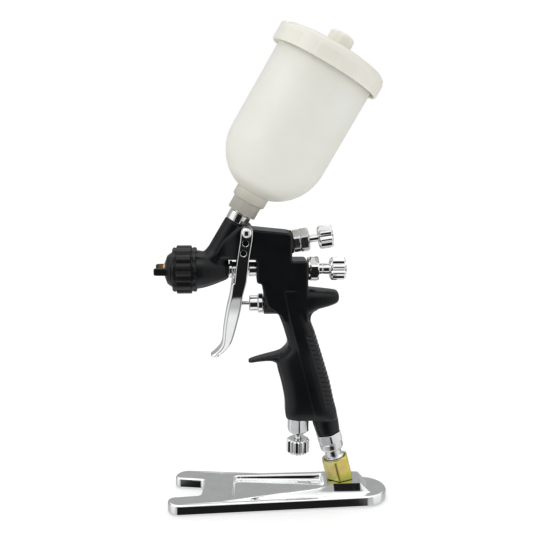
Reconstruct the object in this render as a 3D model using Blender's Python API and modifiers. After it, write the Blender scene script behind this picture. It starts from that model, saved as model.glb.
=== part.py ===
"""Gravity-feed spray gun standing on a chromed bench stand.

Lengths in this file are millimetres, turned into metres by MM when a mesh is
made. The frame has +Z up, the nozzle towards -X, and the object symmetric
about Y = 0. The origin is on the bench, at the middle of the outline.
"""
import math

import bmesh
import bpy
from mathutils import Matrix, Vector

MM = 0.001
GAP = 0.3                      # clearance between pieces that touch
MERGE = 0.00001                # vertex merge distance, metres

# Main axes: a point in the XZ plane and the tilt of the axis from vertical
NEEDLE_Z = 149.8               # nozzle, needle and fluid knob, along X
VALVE_Z = 128.4                # air valve under the needle, along X
PIVOT = (-16.6, 173.8)         # trigger pivot, along Y
CUP_BASE = (-20.4, 183.15)     # foot of the cup's nut
CUP_TILT = 30.1
INLET_FOOT = (35.6, 42.0)      # end of the handle's rear foot
INLET_TILT = -14.0
AIRFLOW_FOOT = (15.8, 54.1)    # end of the handle's front foot
PATTERN_FACE = (10.8, 166.7)   # rear face of the body at the pattern control
PATTERN_TILT = 82.0

# Stand, drawn straight and then turned a little under the gun, about the nut
STAND_PIVOT = (39.0, 0.0)
STAND_TURN = -1.8
STAND_OFFSET = -1.5            # its axis passes this far beside the nut's
STAND_FRONT = -65.2
FRONT_SKEW = 0.045             # the far prong ends a little further back
STAND_FRONT_HALF = 26.8
STAND_REAR_RADIUS = 15.2
STAND_REAR_CENTRE = 57.4
SKIRT_HEIGHT = 7.0
SKIRT_ROUNDING = 3.6
FORK_DEPTH = 19.8
FORK_MOUTH_HALF = 13.7
FORK_ROOT_HALF = 11.0
SADDLE_Z = 13.4                # flat top of the hump under the nut
RECESS_FLOOR = 5.0
POCKET_ROOF = 2.8
WALL = 3.2

# Screwed parts
NUT_FLATS = 16.0
THREAD_RADIUS = 6.55           # quarter-inch pipe thread
NUT_TOP = -15.4                # along the inlet axis, below the foot
KNOB_RADIUS = 7.3

# Cup, along its own axis
CUP_RADIUS = 31.0
CUP_WALL = 1.6
BOWL_CENTRE = 45.1
CUP_RIM = 108.4
LID_RADIUS = 35.3
LID_EDGE = 99.6
LID_TOP = 112.0

# Trigger
EAR_MID = 11.75                # distance of the ear plates from the middle
CHEEK_MID = 7.7
PLATE = 1.7
EAR_RADIUS = 3.9
STUD_RADIUS = 1.9

BODY_HALF = 10.4               # half thickness of the body between the ears


# ---------------------------------------------------------------- helpers

def clear_scene():
    """Remove whatever the open file holds."""
    for obj in list(bpy.data.objects):
        bpy.data.objects.remove(obj, do_unlink=True)


def make_collections():
    """One collection for the parts and one for the hidden cutters."""
    parts = bpy.data.collections.new("spray_gun_on_stand")
    tools = bpy.data.collections.new("cutters")
    for collection in (parts, tools):
        bpy.context.scene.collection.children.link(collection)
    return parts, tools


def make_materials():
    """Principled materials by name: colour, metallic, roughness."""
    looks = {
        "chrome": ((0.80, 0.81, 0.82), 1.0, 0.06),
        "satin_steel": ((0.62, 0.63, 0.64), 1.0, 0.28),
        "zinc_yellow": ((0.62, 0.55, 0.25), 1.0, 0.30),
        "black_anodised": ((0.012, 0.014, 0.016), 0.4, 0.42),
        "black_plastic": ((0.02, 0.02, 0.022), 0.0, 0.45),
        "brass": ((0.78, 0.56, 0.22), 1.0, 0.25),
        "cup_white": ((0.88, 0.87, 0.82), 0.0, 0.35),
        "seal_white": ((0.90, 0.90, 0.90), 0.0, 0.55),
        "spring_steel": ((0.50, 0.50, 0.50), 1.0, 0.35),
    }
    made = {}
    for name, (colour, metallic, roughness) in looks.items():
        material = bpy.data.materials.new(name)
        material.use_nodes = True
        shader = material.node_tree.nodes["Principled BSDF"]
        shader.inputs["Base Color"].default_value = (*colour, 1.0)
        shader.inputs["Metallic"].default_value = metallic
        shader.inputs["Roughness"].default_value = roughness
        material.diffuse_color = (*colour, 1.0)
        made[name] = material
    return made


def add_axis(name, point, tilt):
    """Empty whose +Z leans by tilt degrees from vertical towards +X."""
    empty = bpy.data.objects.new(name, None)
    PARTS.objects.link(empty)
    empty.location = (point[0] * MM, 0, point[1] * MM)
    empty.rotation_euler = (0, math.radians(tilt), 0)
    return empty


def add_object(name, mesh, material=None, parent=None):
    """Link a mesh as a part, or as a hidden cutter when it has no material."""
    obj = bpy.data.objects.new(name, mesh)
    obj.parent = parent
    if material is None:
        TOOLS.objects.link(obj)
        obj.hide_render = True
        obj.display_type = 'WIRE'
        return obj
    PARTS.objects.link(obj)
    mesh.materials.append(MATERIALS[material])
    return obj


def mesh_from(builder, name):
    """Make a mesh from a bmesh, with its faces pointing out."""
    bmesh.ops.recalc_face_normals(builder, faces=builder.faces)
    mesh = bpy.data.meshes.new(name)
    builder.to_mesh(mesh)
    builder.free()
    return mesh


def smooth(obj, angle=40):
    """Shade round surfaces smooth and keep the edges sharp."""
    obj.data.shade_smooth()
    obj.data.set_sharp_from_angle(angle=math.radians(angle))


def turned(name, profile, material=None, parent=None, steps=24, ring=False):
    """Turn a profile of (radius, height), top to bottom, about local Z."""
    count = len(profile)
    points = [(radius * MM, 0, height * MM) for radius, height in profile]
    edges = [(i, (i + 1) % count) for i in range(count if ring else count - 1)]
    mesh = bpy.data.meshes.new(name)
    mesh.from_pydata(points, edges, [])
    obj = add_object(name, mesh, material, parent)
    screw = obj.modifiers.new("turn", 'SCREW')
    screw.axis = 'Z'
    screw.steps = steps
    screw.render_steps = steps
    screw.use_merge_vertices = True
    screw.merge_threshold = MERGE
    return obj


def rod(name, radius, top, bottom, material=None, parent=None, steps=20):
    """Plain cylinder between two heights on local Z."""
    profile = [(0, top), (radius, top), (radius, bottom), (0, bottom)]
    return turned(name, profile, material, parent, steps)


def tube(name, radius, bore, top, bottom, material=None, parent=None, steps=24):
    """Cylinder with a bore right through it."""
    profile = [(radius, top), (radius, bottom), (bore, bottom), (bore, top)]
    return turned(name, profile, material, parent, steps, ring=True)


def prism(name, outline, top, bottom, material=None, parent=None):
    """Outline of (x, y) points raised along local Z between two heights."""
    builder = bmesh.new()
    rings = []
    for height in (bottom, top):
        ring = [builder.verts.new((x * MM, y * MM, height * MM)) for x, y in outline]
        rings.append(ring)
        builder.faces.new(ring)
    count = len(outline)
    for i in range(count):
        j = (i + 1) % count
        builder.faces.new((rings[0][i], rings[0][j], rings[1][j], rings[1][i]))
    return add_object(name, mesh_from(builder, name), material, parent)


def hexagon(flats, turn=0):
    """Corners of a hexagon with the given width across its flats."""
    radius = flats / math.sqrt(3)
    angles = [math.radians(turn + 60 * i) for i in range(6)]
    return [(radius * math.cos(a), radius * math.sin(a)) for a in angles]


def fluted(radius, depth, flutes, per_flute=4):
    """Outline of a knob whose grip has rounded flutes."""
    points = []
    for i in range(flutes * per_flute):
        angle = 2 * math.pi * i / (flutes * per_flute)
        reach = radius - depth * (0.5 - 0.5 * math.cos(flutes * angle))
        points.append((reach * math.cos(angle), reach * math.sin(angle)))
    return points


def filleted(corners, steps=4):
    """Closed outline with each corner (x, y, radius) replaced by an arc."""
    points = []
    count = len(corners)
    for i, (x, y, radius) in enumerate(corners):
        here = Vector((x, y))
        before = (Vector(corners[i - 1][:2]) - here).normalized()
        after = (Vector(corners[(i + 1) % count][:2]) - here).normalized()
        if radius == 0:
            points.append((x, y))
            continue
        half = before.angle(after) / 2
        centre = here + (before + after).normalized() * radius / math.sin(half)
        start = here + before * radius / math.tan(half) - centre
        end = here + after * radius / math.tan(half) - centre
        sweep = start.angle_signed(end)
        for k in range(steps + 1):
            turn = -sweep * k / steps
            cos, sin = math.cos(turn), math.sin(turn)
            points.append((centre.x + start.x * cos - start.y * sin,
                           centre.y + start.x * sin + start.y * cos))
    return points


def plate(name, corners, half, rounding=0, steps=4):
    """Cutter: outline in the XZ plane, half the thickness each side of Y = 0."""
    curve = bpy.data.curves.new(name, 'CURVE')
    curve.dimensions = '2D'
    curve.fill_mode = 'BOTH'
    curve.extrude = half * MM
    spline = curve.splines.new('POLY')
    outline = filleted(corners, steps)
    spline.points.add(len(outline) - 1)
    for point, (x, z) in zip(spline.points, outline):
        point.co = (x * MM, z * MM, 0, 1)
    spline.use_cyclic_u = True
    flat = bpy.data.objects.new(name, curve)
    flat.rotation_euler = (math.pi / 2, 0, 0)
    PARTS.objects.link(flat)
    graph = bpy.context.evaluated_depsgraph_get()
    graph.update()
    mesh = bpy.data.meshes.new_from_object(flat.evaluated_get(graph))
    mesh.transform(flat.matrix_world)
    bpy.data.objects.remove(flat, do_unlink=True)
    bpy.data.curves.remove(curve)
    builder = bmesh.new()
    builder.from_mesh(mesh)
    bpy.data.meshes.remove(mesh)
    bmesh.ops.remove_doubles(builder, verts=builder.verts, dist=MERGE)
    bmesh.ops.dissolve_limit(builder, angle_limit=0.01, verts=builder.verts,
                             edges=builder.edges)
    obj = add_object(name, mesh_from(builder, name))
    if rounding:
        bevel = obj.modifiers.new("rounding", 'BEVEL')
        bevel.width = rounding * MM
        bevel.segments = 3
        bevel.limit_method = 'ANGLE'
        bevel.angle_limit = math.radians(50)
    return obj


def section(across, deep, power, sides):
    """Rounded section from an ellipse (power 2) towards a box (higher powers)."""
    points = []
    for i in range(sides):
        angle = 2 * math.pi * (i + 0.5) / sides
        cos, sin = math.cos(angle), math.sin(angle)
        points.append((across * math.copysign(abs(cos) ** (2 / power), cos),
                       deep * math.copysign(abs(sin) ** (2 / power), sin)))
    return points


def loft(name, rows, material=None, parent=None):
    """Skin a list of equal rings of points, with both ends closed."""
    builder = bmesh.new()
    rings = [[builder.verts.new([c * MM for c in point]) for point in row] for row in rows]
    for lower, upper in zip(rings, rings[1:]):
        for i in range(len(lower)):
            j = (i + 1) % len(lower)
            builder.faces.new((lower[i], lower[j], upper[j], upper[i]))
    builder.faces.new(rings[0])
    builder.faces.new(rings[-1])
    return add_object(name, mesh_from(builder, name), material, parent)


def combine(obj, tool, operation='UNION'):
    """Add a Boolean modifier that joins or cuts obj with tool."""
    modifier = obj.modifiers.new(tool.name, 'BOOLEAN')
    modifier.operation = operation
    modifier.solver = 'EXACT'
    modifier.object = tool
    return obj


def cut(obj, *tools):
    for tool in tools:
        combine(obj, tool, 'DIFFERENCE')


def join(obj, *tools):
    for tool in tools:
        combine(obj, tool, 'UNION')


def coil(name, radius, wire, bottom, top, turns, parent):
    """Compression spring with its ends closed flat."""
    per_turn = 8
    curve = bpy.data.curves.new(name, 'CURVE')
    curve.dimensions = '3D'
    curve.bevel_depth = wire * MM
    curve.bevel_resolution = 0
    curve.use_fill_caps = True
    spline = curve.splines.new('POLY')
    count = turns * per_turn + 1
    spline.points.add(count - 1)
    for i, point in enumerate(spline.points):
        angle = 2 * math.pi * i / per_turn
        height = bottom + wire + (top - bottom - 2 * wire) * i / (count - 1)
        point.co = (radius * MM * math.cos(angle), radius * MM * math.sin(angle),
                    height * MM, 1)
    obj = bpy.data.objects.new(name, curve)
    obj.parent = parent
    curve.materials.append(MATERIALS["spring_steel"])
    PARTS.objects.link(obj)
    return obj


# ------------------------------------------------------------------ stand

def stand_outline(inset=0.0):
    """Fork at the front, straight sides and a round rear, seen from above."""
    front = STAND_FRONT + inset
    side = STAND_FRONT_HALF - inset
    mouth = FORK_MOUTH_HALF + inset
    root = FORK_ROOT_HALF + inset
    notch = STAND_FRONT + FORK_DEPTH + inset
    radius = STAND_REAR_RADIUS - inset
    tip = side - mouth
    half = [(notch, root, 3.0), (front, mouth, 0.31 * tip), (front, side, 0.62 * tip)]
    arc = []
    for k in range(9):
        angle = math.radians(85 - 170 * k / 8)
        arc.append((STAND_REAR_CENTRE + radius * math.cos(angle),
                    radius * math.sin(angle), 0))
    other = [(x, -y, r) for x, y, r in reversed(half)]
    fork = [[(x + FRONT_SKEW * y, y, r) for x, y, r in end] for end in (half, other)]
    return filleted(fork[0] + arc + fork[1], 4)


def wedge_row(x, half, top, spread):
    """Section of the raised wedge that carries the nut, at one X."""
    foot = SKIRT_HEIGHT - 3.0
    side = [(half + spread, foot), (half + 0.2 * spread, top - 2.0), (half - 0.8, top - 0.6),
            (half - 2.2, top)]
    ring = side + [(-y, z) for y, z in reversed(side)]
    return [(x, y, z) for y, z in ring]


def build_stand():
    base = prism("stand_base", stand_outline(), SKIRT_HEIGHT, 0, "chrome")
    builder = bmesh.new()
    builder.from_mesh(base.data)
    level = SKIRT_HEIGHT * MM - MERGE
    rim = [edge for edge in builder.edges if all(v.co.z > level for v in edge.verts)]
    bmesh.ops.bevel(builder, geom=rim, offset=SKIRT_ROUNDING * MM, segments=3,
                    profile=0.5, affect='EDGES', clamp_overlap=True)
    builder.to_mesh(base.data)
    builder.free()
    wedge = loft("wedge", [
        wedge_row(-28.0, 19.5, SKIRT_HEIGHT + 0.2, 1.5),
        wedge_row(28.0, 12.6, 11.6, 3.6),
        wedge_row(38.0, 10.0, SADDLE_Z, 5.0),
        wedge_row(55.2, 9.0, SADDLE_Z, 4.4),
        wedge_row(62.6, 7.0, SKIRT_HEIGHT - 1.0, 3.0),
    ])
    recess_half = [(-25.5, -15.8, 2.5), (32.0, -8.2, 2.5)]
    recess_corners = recess_half + [(x, -y, r) for x, y, r in reversed(recess_half)]
    recess = prism("recess", filleted(recess_corners), 20, RECESS_FLOOR)
    pocket = prism("pocket", stand_outline(WALL), POCKET_ROOF, -2)
    join(base, wedge)
    cut(base, recess, pocket)
    pivot = Vector((*STAND_PIVOT, 0)) * MM
    aside = pivot + Vector((0, STAND_OFFSET, 0)) * MM
    turn = Matrix.Rotation(math.radians(STAND_TURN), 4, 'Z')
    for piece in (base, wedge, recess, pocket):
        piece.matrix_world = Matrix.Translation(aside) @ turn @ Matrix.Translation(-pivot)
    return base


def build_coupling_nut(inlet):
    nut = prism("coupling_nut", hexagon(NUT_FLATS, 26), NUT_TOP, -36, "zinc_yellow", inlet)
    bore = rod("nut_bore", THREAD_RADIUS + GAP, -5, -45, parent=inlet)
    saddle = prism("saddle_plane", [(0, -20), (80, -20), (80, 20), (0, 20)],
                   SADDLE_Z + GAP, -20)
    cut(nut, bore, saddle)
    return nut


# --------------------------------------------------------------- gun body

def upright_row(z, front, rear, half, power, lean=0.0, sides=16):
    """Horizontal section of the handle at height z."""
    middle, across = (front + rear) / 2, (rear - front) / 2
    return [(middle + a, d, z + a * lean) for a, d in section(across, half, power, sides)]


def level_row(x, bottom, top, half, power, sides=12):
    """Section across the hook or the tang at one X."""
    middle, deep = (bottom + top) / 2, (top - bottom) / 2
    return [(x, d, middle + a) for a, d in section(deep, half, power, sides)]


def build_handle():
    return loft("handle", [
        upright_row(54.4, 7.9, 40.6, 9.2, 3.4),
        upright_row(59.0, 7.3, 40.0, 11.0, 3.2),
        upright_row(67.0, 6.9, 38.0, 12.2, 3.0),
        upright_row(78.0, 4.8, 35.6, 12.6, 2.8),
        upright_row(88.0, 2.2, 32.7, 12.8, 2.8),
        upright_row(95.0, 2.0, 30.6, 12.6, 2.8),
        upright_row(102.0, 8.3, 28.4, 12.2, 2.8),
        upright_row(110.0, 7.0, 25.9, 11.8, 3.0),
        upright_row(118.0, 4.4, 22.9, 11.2, 3.2),
        upright_row(126.0, 1.0, 21.5, 10.4, 3.4),
    ])


def build_hook():
    return loft("hook", [
        level_row(-15.8, 91.0, 92.0, 3.0, 2.2),
        level_row(-14.2, 90.7, 92.9, 4.6, 2.2),
        level_row(-8.0, 91.6, 94.7, 5.6, 2.4),
        level_row(-1.0, 91.8, 96.4, 6.6, 2.6),
        level_row(4.0, 89.0, 98.0, 7.8, 2.8),
        level_row(10.0, 86.0, 101.0, 9.4, 3.0),
    ])


def build_tang():
    return loft("tang", [
        level_row(12.0, 118.0, 138.6, 10.4, 3.4),
        level_row(20.6, 121.4, 138.2, 10.4, 3.2),
        level_row(26.5, 124.6, 137.6, 10.0, 3.0),
        level_row(34.0, 126.6, 136.8, 8.8, 2.8),
        level_row(38.8, 128.4, 136.1, 7.2, 2.6),
        level_row(40.2, 130.2, 134.6, 5.4, 2.4),
    ])


def build_gun_body(axes):
    """Casting of the gun, with its fluid and air passages bored out."""
    upper = plate("gun_body_upper", [
        (-36.0, 157.0, 3), (-10.6, 156.8, 1.2), (-10.6, 142.2, 1.5), (-7.7, 142.2, 1),
        (-6.4, 135.4, 0), (-4.0, 128.0, 0), (4.5, 121.5, 0), (6.0, 118.0, 0), (21.0, 118.0, 0),
        (20.6, 155.9, 1.6), (10.9, 155.9, 1.0), (10.9, 172.9, 3), (-13.0, 175.4, 5),
        (-19.5, 178.2, 4), (-30.0, 168.0, 3),
    ], BODY_HALF, 2.6)
    body = add_object("gun_body", upper.data.copy(), "black_anodised")
    bevel = body.modifiers.new("rounding", 'BEVEL')
    bevel.width = 2.6 * MM
    bevel.segments = 2
    bevel.limit_method = 'ANGLE'
    bevel.angle_limit = math.radians(50)
    bpy.data.objects.remove(upper, do_unlink=True)
    needle, valve, cup, inlet = axes["needle"], axes["valve"], axes["cup"], axes["inlet"]
    head = turned("head", [(0, -27.4), (5.2, -27.4), (6.4, -29), (8.6, -34.5), (10.2, -39),
                           (11.3, -43), (11.9, -46.9), (11.9, -51.5), (0, -51.5)],
                  parent=needle, steps=28)
    neck = turned("neck", [(0, -4.9), (6.6, -4.9), (7.0, -5.4), (7.2, -26), (8.2, -31),
                           (6.0, -36), (0, -38)], parent=cup)
    valve_boss = rod("valve_boss", 6.8, 8, -6.3, parent=valve, steps=24)
    rear_foot = turned("rear_foot", [(0, 16), (8.2, 16), (8.2, 9), (7.2, 0), (0, 0)],
                       parent=inlet)
    pattern_boss = rod("pattern_boss", 7.2, 1.0, -9, parent=axes["pattern"], steps=24)
    join(body, head, neck, build_handle(), build_hook(), build_tang(), valve_boss, rear_foot,
         pattern_boss)
    pattern, airflow = axes["pattern"], axes["airflow"]
    cut(body,
        turned("needle_bores", [(0, 30), (4.9, 30), (4.9, -14), (3.6, -14), (3.6, -44.0),
                                (9.2, -44.0), (9.2, -60), (0, -60)], parent=needle),
        turned("cup_bores", [(0, 5), (7.4, 5), (7.4, -4.85), (5.0, -4.85), (5.0, -17),
                             (2.2, -17), (2.2, -38.5), (0, -38.5)], parent=cup, steps=16),
        turned("inlet_bores", [(0, 86), (2.6, 86), (2.6, 9), (5.3, 9), (5.3, -10), (0, -10)],
               parent=inlet, steps=16),
        rod("valve_bore", 4.3, 16.4, -20, parent=valve, steps=22),
        rod("pattern_bore", 4.3, 10, -18, parent=pattern, steps=18),
        rod("airflow_bore", 4.3, 10, -14, parent=airflow),
        rod("airflow_passage", 1.8, 12.6, 0.6, parent=axes["crossing"], steps=11),
        rod("pivot_bore", STUD_RADIUS + GAP, 20, -20, parent=axes["pivot"]))
    return body


# ------------------------------------------------------------ spray head

def build_spray_head(needle):
    ring = prism("air_cap_ring", fluted(14.9, 0.9, 16), -49.2, -59.6, "black_plastic", needle)
    flanges = turned("ring_flanges", [(13.2, -46.9), (13.8, -48.4), (13.8, -60.6),
                                      (13.2, -61.6), (11.0, -61.6), (11.0, -46.9)],
                     parent=needle, ring=True, steps=32)
    bore = turned("ring_bore", [(0, -40), (12.9, -40), (12.9, -60.2), (10.9, -60.2),
                                (10.9, -70), (0, -70)], parent=needle, steps=32)
    join(ring, flanges)
    cut(ring, bore)

    cap = turned("air_cap", [
        (12.5, -56.2), (12.5, -59.9), (10.5, -59.9), (10.4, -62.6), (8.6, -64.9),
        (4.6, -66.4), (1.9, -66.6), (1.9, -65.4), (4.2, -64.8), (8.4, -61.8), (8.8, -56.2)],
        "black_anodised", needle, steps=32, ring=True)
    horn_rows = [(-60.8, 9.7, 6.4), (-66.0, 9.5, 6.2), (-71.2, 9.2, 6.6), (-72.6, 8.8, 7.0)]
    for side, name in ((-1, "horn_near"), (1, "horn_far")):
        rows = []
        for x, outer, inner in horn_rows:
            wide = 2.3 if x > -72 else 1.8
            corners = [(outer, wide), (inner, wide), (inner, -wide), (outer, -wide)]
            rows.append([(x, side * y, NEEDLE_Z + z) for y, z in corners])
        join(cap, loft(name, rows))

    tip = turned("fluid_tip", [
        (1.15, -41.0), (3.1, -41.0), (3.1, -46.4), (6.6, -46.4), (6.6, -50.4), (5.0, -52.0),
        (4.2, -60.5), (1.5, -65.6), (1.5, -67.2), (1.15, -67.2)],
        "satin_steel", needle, steps=20, ring=True)
    baffle = tube("air_baffle", 8.7, 6.9, -46.3, -51.0, "brass", needle)
    seal = tube("needle_packing", 3.2, 1.2, -30.4, -34.6, "seal_white", needle)
    nut = turned("packing_nut", [
        (4.6, -19.0), (4.7, -19.6), (4.7, -25.2), (5.4, -25.4), (5.4, -27.0), (3.3, -27.1),
        (3.3, -30.1), (1.3, -30.1), (1.3, -19.0)], "chrome", needle, ring=True)
    return ring, cap, tip, baffle, seal, nut


# --------------------------------------------------------- needle and knob

def build_needle(needle):
    stem = turned("fluid_needle", [
        (0, 13.0), (0.95, 13.0), (0.95, -58.0), (0.25, -66.9), (0, -67.0)],
        "satin_steel", needle, steps=12)
    collar = turned("needle_collar", [
        (4.0, -3.8), (4.5, -4.3), (4.5, -14.9), (4.1, -15.3), (1.25, -15.3), (1.25, -3.8)],
        "chrome", needle, ring=True)
    spring = coil("needle_spring", 3.1, 0.4, -3.5, 11.6, 8, needle)
    bush = prism("needle_bush", hexagon(14.2, 12), 27.6, 21.8, "chrome", needle)
    sleeve = tube("needle_bush_sleeve", 4.6, 3.9, 24.0, 14.0, parent=needle)
    flange = tube("needle_bush_flange", 7.1, 4.3, 22.2, 20.9, parent=needle)
    join(bush, flange, sleeve)
    cut(bush, rod("needle_bush_bore", 3.9, 40, 5, parent=needle))
    knob = prism("fluid_knob", fluted(KNOB_RADIUS, 0.8, 12), 43.6, 35.3, "chrome", needle)
    core = turned("fluid_knob_core", [
        (1.3, 11.9), (1.3, 44.4), (6.2, 44.4), (6.9, 43.7), (6.9, 35.0), (5.4, 34.4),
        (3.45, 34.2), (3.45, 11.9)], parent=needle, ring=True)
    plug = rod("fluid_knob_end", 1.6, 44.4, 18.0, parent=needle, steps=12)
    join(knob, core, plug)
    return stem, collar, spring, bush, knob


def build_screw_control(name, axis, bush_profile, hex_flats, hex_span, stem, knob_span):
    """Bush with a hexagon, a stem through it and a fluted knob on the stem."""
    top, bottom = hex_span
    bush = prism(name + "_bush", hexagon(hex_flats, 10), top, bottom, "satin_steel", axis)
    join(bush, turned(name + "_bush_round", bush_profile, parent=axis, ring=False))
    stem_radius, stem_end, stem_top = stem
    cut(bush, rod(name + "_bush_bore", stem_radius + GAP, 60, -60, parent=axis, steps=16))
    spindle = turned(name + "_stem", [
        (0, stem_top), (stem_radius, stem_top), (stem_radius, stem_end + 3.0),
        (0.6, stem_end), (0, stem_end)], "chrome", axis, steps=16)
    high, low = knob_span
    knob = prism(name + "_knob", fluted(KNOB_RADIUS, 0.8, 12), high - 0.8, low + 0.8,
                 "chrome", axis)
    join(knob, turned(name + "_knob_core", [
        (0, high), (6.3, high), (6.9, high - 0.6), (6.9, low + 0.6), (6.3, low), (0, low)],
        parent=axis))
    cut(knob, rod(name + "_knob_socket", stem_radius + GAP, high - 2.0, low - 5,
                  parent=axis, steps=16))
    return bush, spindle, knob


# -------------------------------------------------------------- air valve

def build_air_valve(valve):
    gland = turned("air_valve_gland", [
        (3.9, -1.5), (3.9, -6.7), (6.05, -6.7), (6.05, -9.6), (4.85, -9.9), (4.85, -14.6),
        (4.4, -15.0), (1.5, -15.0), (1.5, -1.5)], "chrome", valve, ring=True)
    stem = turned("air_valve_stem", [
        (0, 5.4), (3.2, 5.4), (3.2, 3.4), (1.2, 2.2), (1.2, -25.4), (0.8, -26.0), (0, -26.0)],
        "satin_steel", valve, steps=16)
    spring = coil("air_valve_spring", 2.9, 0.35, 5.75, 15.6, 5, valve)
    return gland, stem, spring


# ---------------------------------------------------------------- trigger

def trigger_rows():
    """Rows of (height, front edge, rear edge, distance from the middle, corner)."""
    rows = []
    for angle in (84, 50, 20):
        turn = math.radians(angle)
        reach = EAR_RADIUS * math.cos(turn)
        rows.append((PIVOT[1] + EAR_RADIUS * math.sin(turn), PIVOT[0] - reach,
                     PIVOT[0] + reach, EAR_MID, 0.4))
    rows += [
        (170.0, -20.8, -13.0, EAR_MID, 0.4),
        (157.4, -22.8, -15.1, EAR_MID, 0.4),
        (154.6, -23.2, -15.4, (EAR_MID + CHEEK_MID) / 2, 0.4),
        (151.8, -23.7, -15.6, CHEEK_MID, 0.4),
        (143.0, -24.9, -16.8, CHEEK_MID, 2.4),
        (134.5, -26.2, -19.0, CHEEK_MID, 2.4),
        (124.2, -28.7, -20.5, CHEEK_MID, 2.6),
        (113.0, -30.3, -23.6, CHEEK_MID, 3.0),
        (105.0, -31.2, -26.4, CHEEK_MID - 0.2, 3.2),
        (101.0, -33.0, -29.0, CHEEK_MID - 0.5, 3.2),
        (97.2, -37.4, -34.8, CHEEK_MID - 1.4, 2.6),
    ]
    return rows


def build_trigger():
    """Bent plate: ears and cheeks at the sides, a web across the lower front."""
    web_top = 144.0
    builder = bmesh.new()
    grid = []
    for height, front, rear, out, corner in trigger_rows():
        line = [(rear, out), (front + corner, out), (front + 0.3 * corner, out - 0.3 * corner),
                (front, out - corner), (front, 0)]
        grid.append([builder.verts.new((x * MM, y * MM, height * MM)) for x, y in line])
    for upper, lower in zip(grid, grid[1:]):
        has_web = upper[0].co.z < web_top * MM
        for i in range(4 if has_web else 1):
            builder.faces.new((upper[i], upper[i + 1], lower[i + 1], lower[i]))
    loose = [v for v in builder.verts if not v.link_faces]
    bmesh.ops.delete(builder, geom=loose, context='VERTS')
    trigger = add_object("trigger", mesh_from(builder, "trigger"), "chrome")
    mirror = trigger.modifiers.new("both sides", 'MIRROR')
    mirror.use_axis = (False, True, False)
    mirror.merge_threshold = MERGE
    shell = trigger.modifiers.new("plate", 'SOLIDIFY')
    shell.thickness = PLATE * MM
    shell.offset = 0
    for side, name in ((-1, "lug_near"), (1, "lug_far")):
        rows = []
        for y in (3.4, 7.6):
            corners = [(-18.6, 148.2), (-16.6, 148.2), (-16.6, 151.4), (-18.6, 151.4)]
            rows.append([(x, side * y, z) for x, z in corners])
        join(trigger, loft(name, rows))
    for x, z, radius in ((PIVOT[0], PIVOT[1], STUD_RADIUS + GAP), (-17.3, 167.4, 1.7),
                         (-18.6, 161.4, 1.7)):
        hole = rod("ear_hole", radius, 20, -20, steps=16)
        hole.location = (x * MM, 0, z * MM)
        hole.rotation_euler = (math.pi / 2, 0, 0)
        cut(trigger, hole)
    return trigger


def build_pivot(pivot):
    outer = EAR_MID + PLATE / 2 + GAP
    stud = turned("trigger_stud", [
        (0, outer + 1.5), (1.7, outer + 1.2), (2.8, outer + 0.5), (3.2, outer), (STUD_RADIUS, outer),
        (STUD_RADIUS, -outer + 0.5), (0, -outer + 0.5)], "chrome", pivot)
    screw = turned("trigger_screw", [
        (0, -outer), (3.2, -outer), (2.8, -outer - 0.6), (1.7, -outer - 1.2), (0, -outer - 1.5)],
        "chrome", pivot)
    slot = prism("screw_slot", [(-4, -0.4), (4, -0.4), (4, 0.4), (-4, 0.4)],
                 -outer - 0.8, -outer - 4, parent=pivot)
    cut(screw, slot)
    return stud, screw


# -------------------------------------------------------------------- cup

def bowl_arc(radius, first, last, steps):
    """Points (radius, height) on the bowl's round end between two angles."""
    points = []
    for k in range(steps + 1):
        angle = math.radians(first + (last - first) * k / steps)
        points.append((radius * math.cos(angle), BOWL_CENTRE + radius * math.sin(angle)))
    return points


def build_cup(cup):
    adaptor = turned("cup_adaptor", [
        (5.4, 13.6), (5.4, 1.0), (6.9, 1.0), (6.9, -4.6), (4.7, -4.6), (4.7, -15.5),
        (2.9, -15.5), (2.9, 13.6)], "chrome", cup, ring=True)
    inner = CUP_RADIUS - CUP_WALL
    outside = [(CUP_RADIUS + 0.1, CUP_RIM)] + bowl_arc(CUP_RADIUS, 0, -70.2, 7)
    inside = bowl_arc(inner, -78.5, 0, 7) + [(inner + 0.1, CUP_RIM)]
    spout = [(10.5, 15.8), (10.5, 10.0), (9.3, 9.4), (9.3, 1.7), (5.8, 1.7), (5.8, 14.6)]
    bowl = turned("cup_body", outside + spout + inside, "cup_white", cup, steps=32, ring=True)
    filter_cone = turned("cup_filter", [
        (0, 24.0), (1.8, 23.6), (5.0, 14.9), (5.0, 14.2), (3.2, 14.2), (0, 21.4)],
        "seal_white", cup, steps=16)
    lid = turned("cup_lid", [
        (3.2, LID_TOP + 1.6), (20, LID_TOP + 1.2), (32.6, LID_TOP + 0.1), (34.6, LID_TOP - 1.0),
        (LID_RADIUS, LID_TOP - 2.6), (LID_RADIUS, LID_EDGE), (33.4, LID_EDGE),
        (33.4, LID_TOP - 2.2), (20, LID_TOP - 1.0), (3.2, LID_TOP - 0.6)],
        "cup_white", cup, steps=40, ring=True)
    seal = tube("lid_seal", 32.8, 29.8, LID_TOP - 2.6, CUP_RIM + GAP, "seal_white", cup, 32)
    knob = turned("vent_knob", [
        (0, LID_TOP + 9.0), (6.2, LID_TOP + 8.8), (7.2, LID_TOP + 7.8), (7.4, LID_TOP + 2.2),
        (2.8, LID_TOP + 2.0), (2.8, LID_TOP - 4.0), (0, LID_TOP - 4.0)], "cup_white", cup)
    return adaptor, bowl, filter_cone, lid, seal, knob


# ------------------------------------------------------------ air inlet

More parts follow.
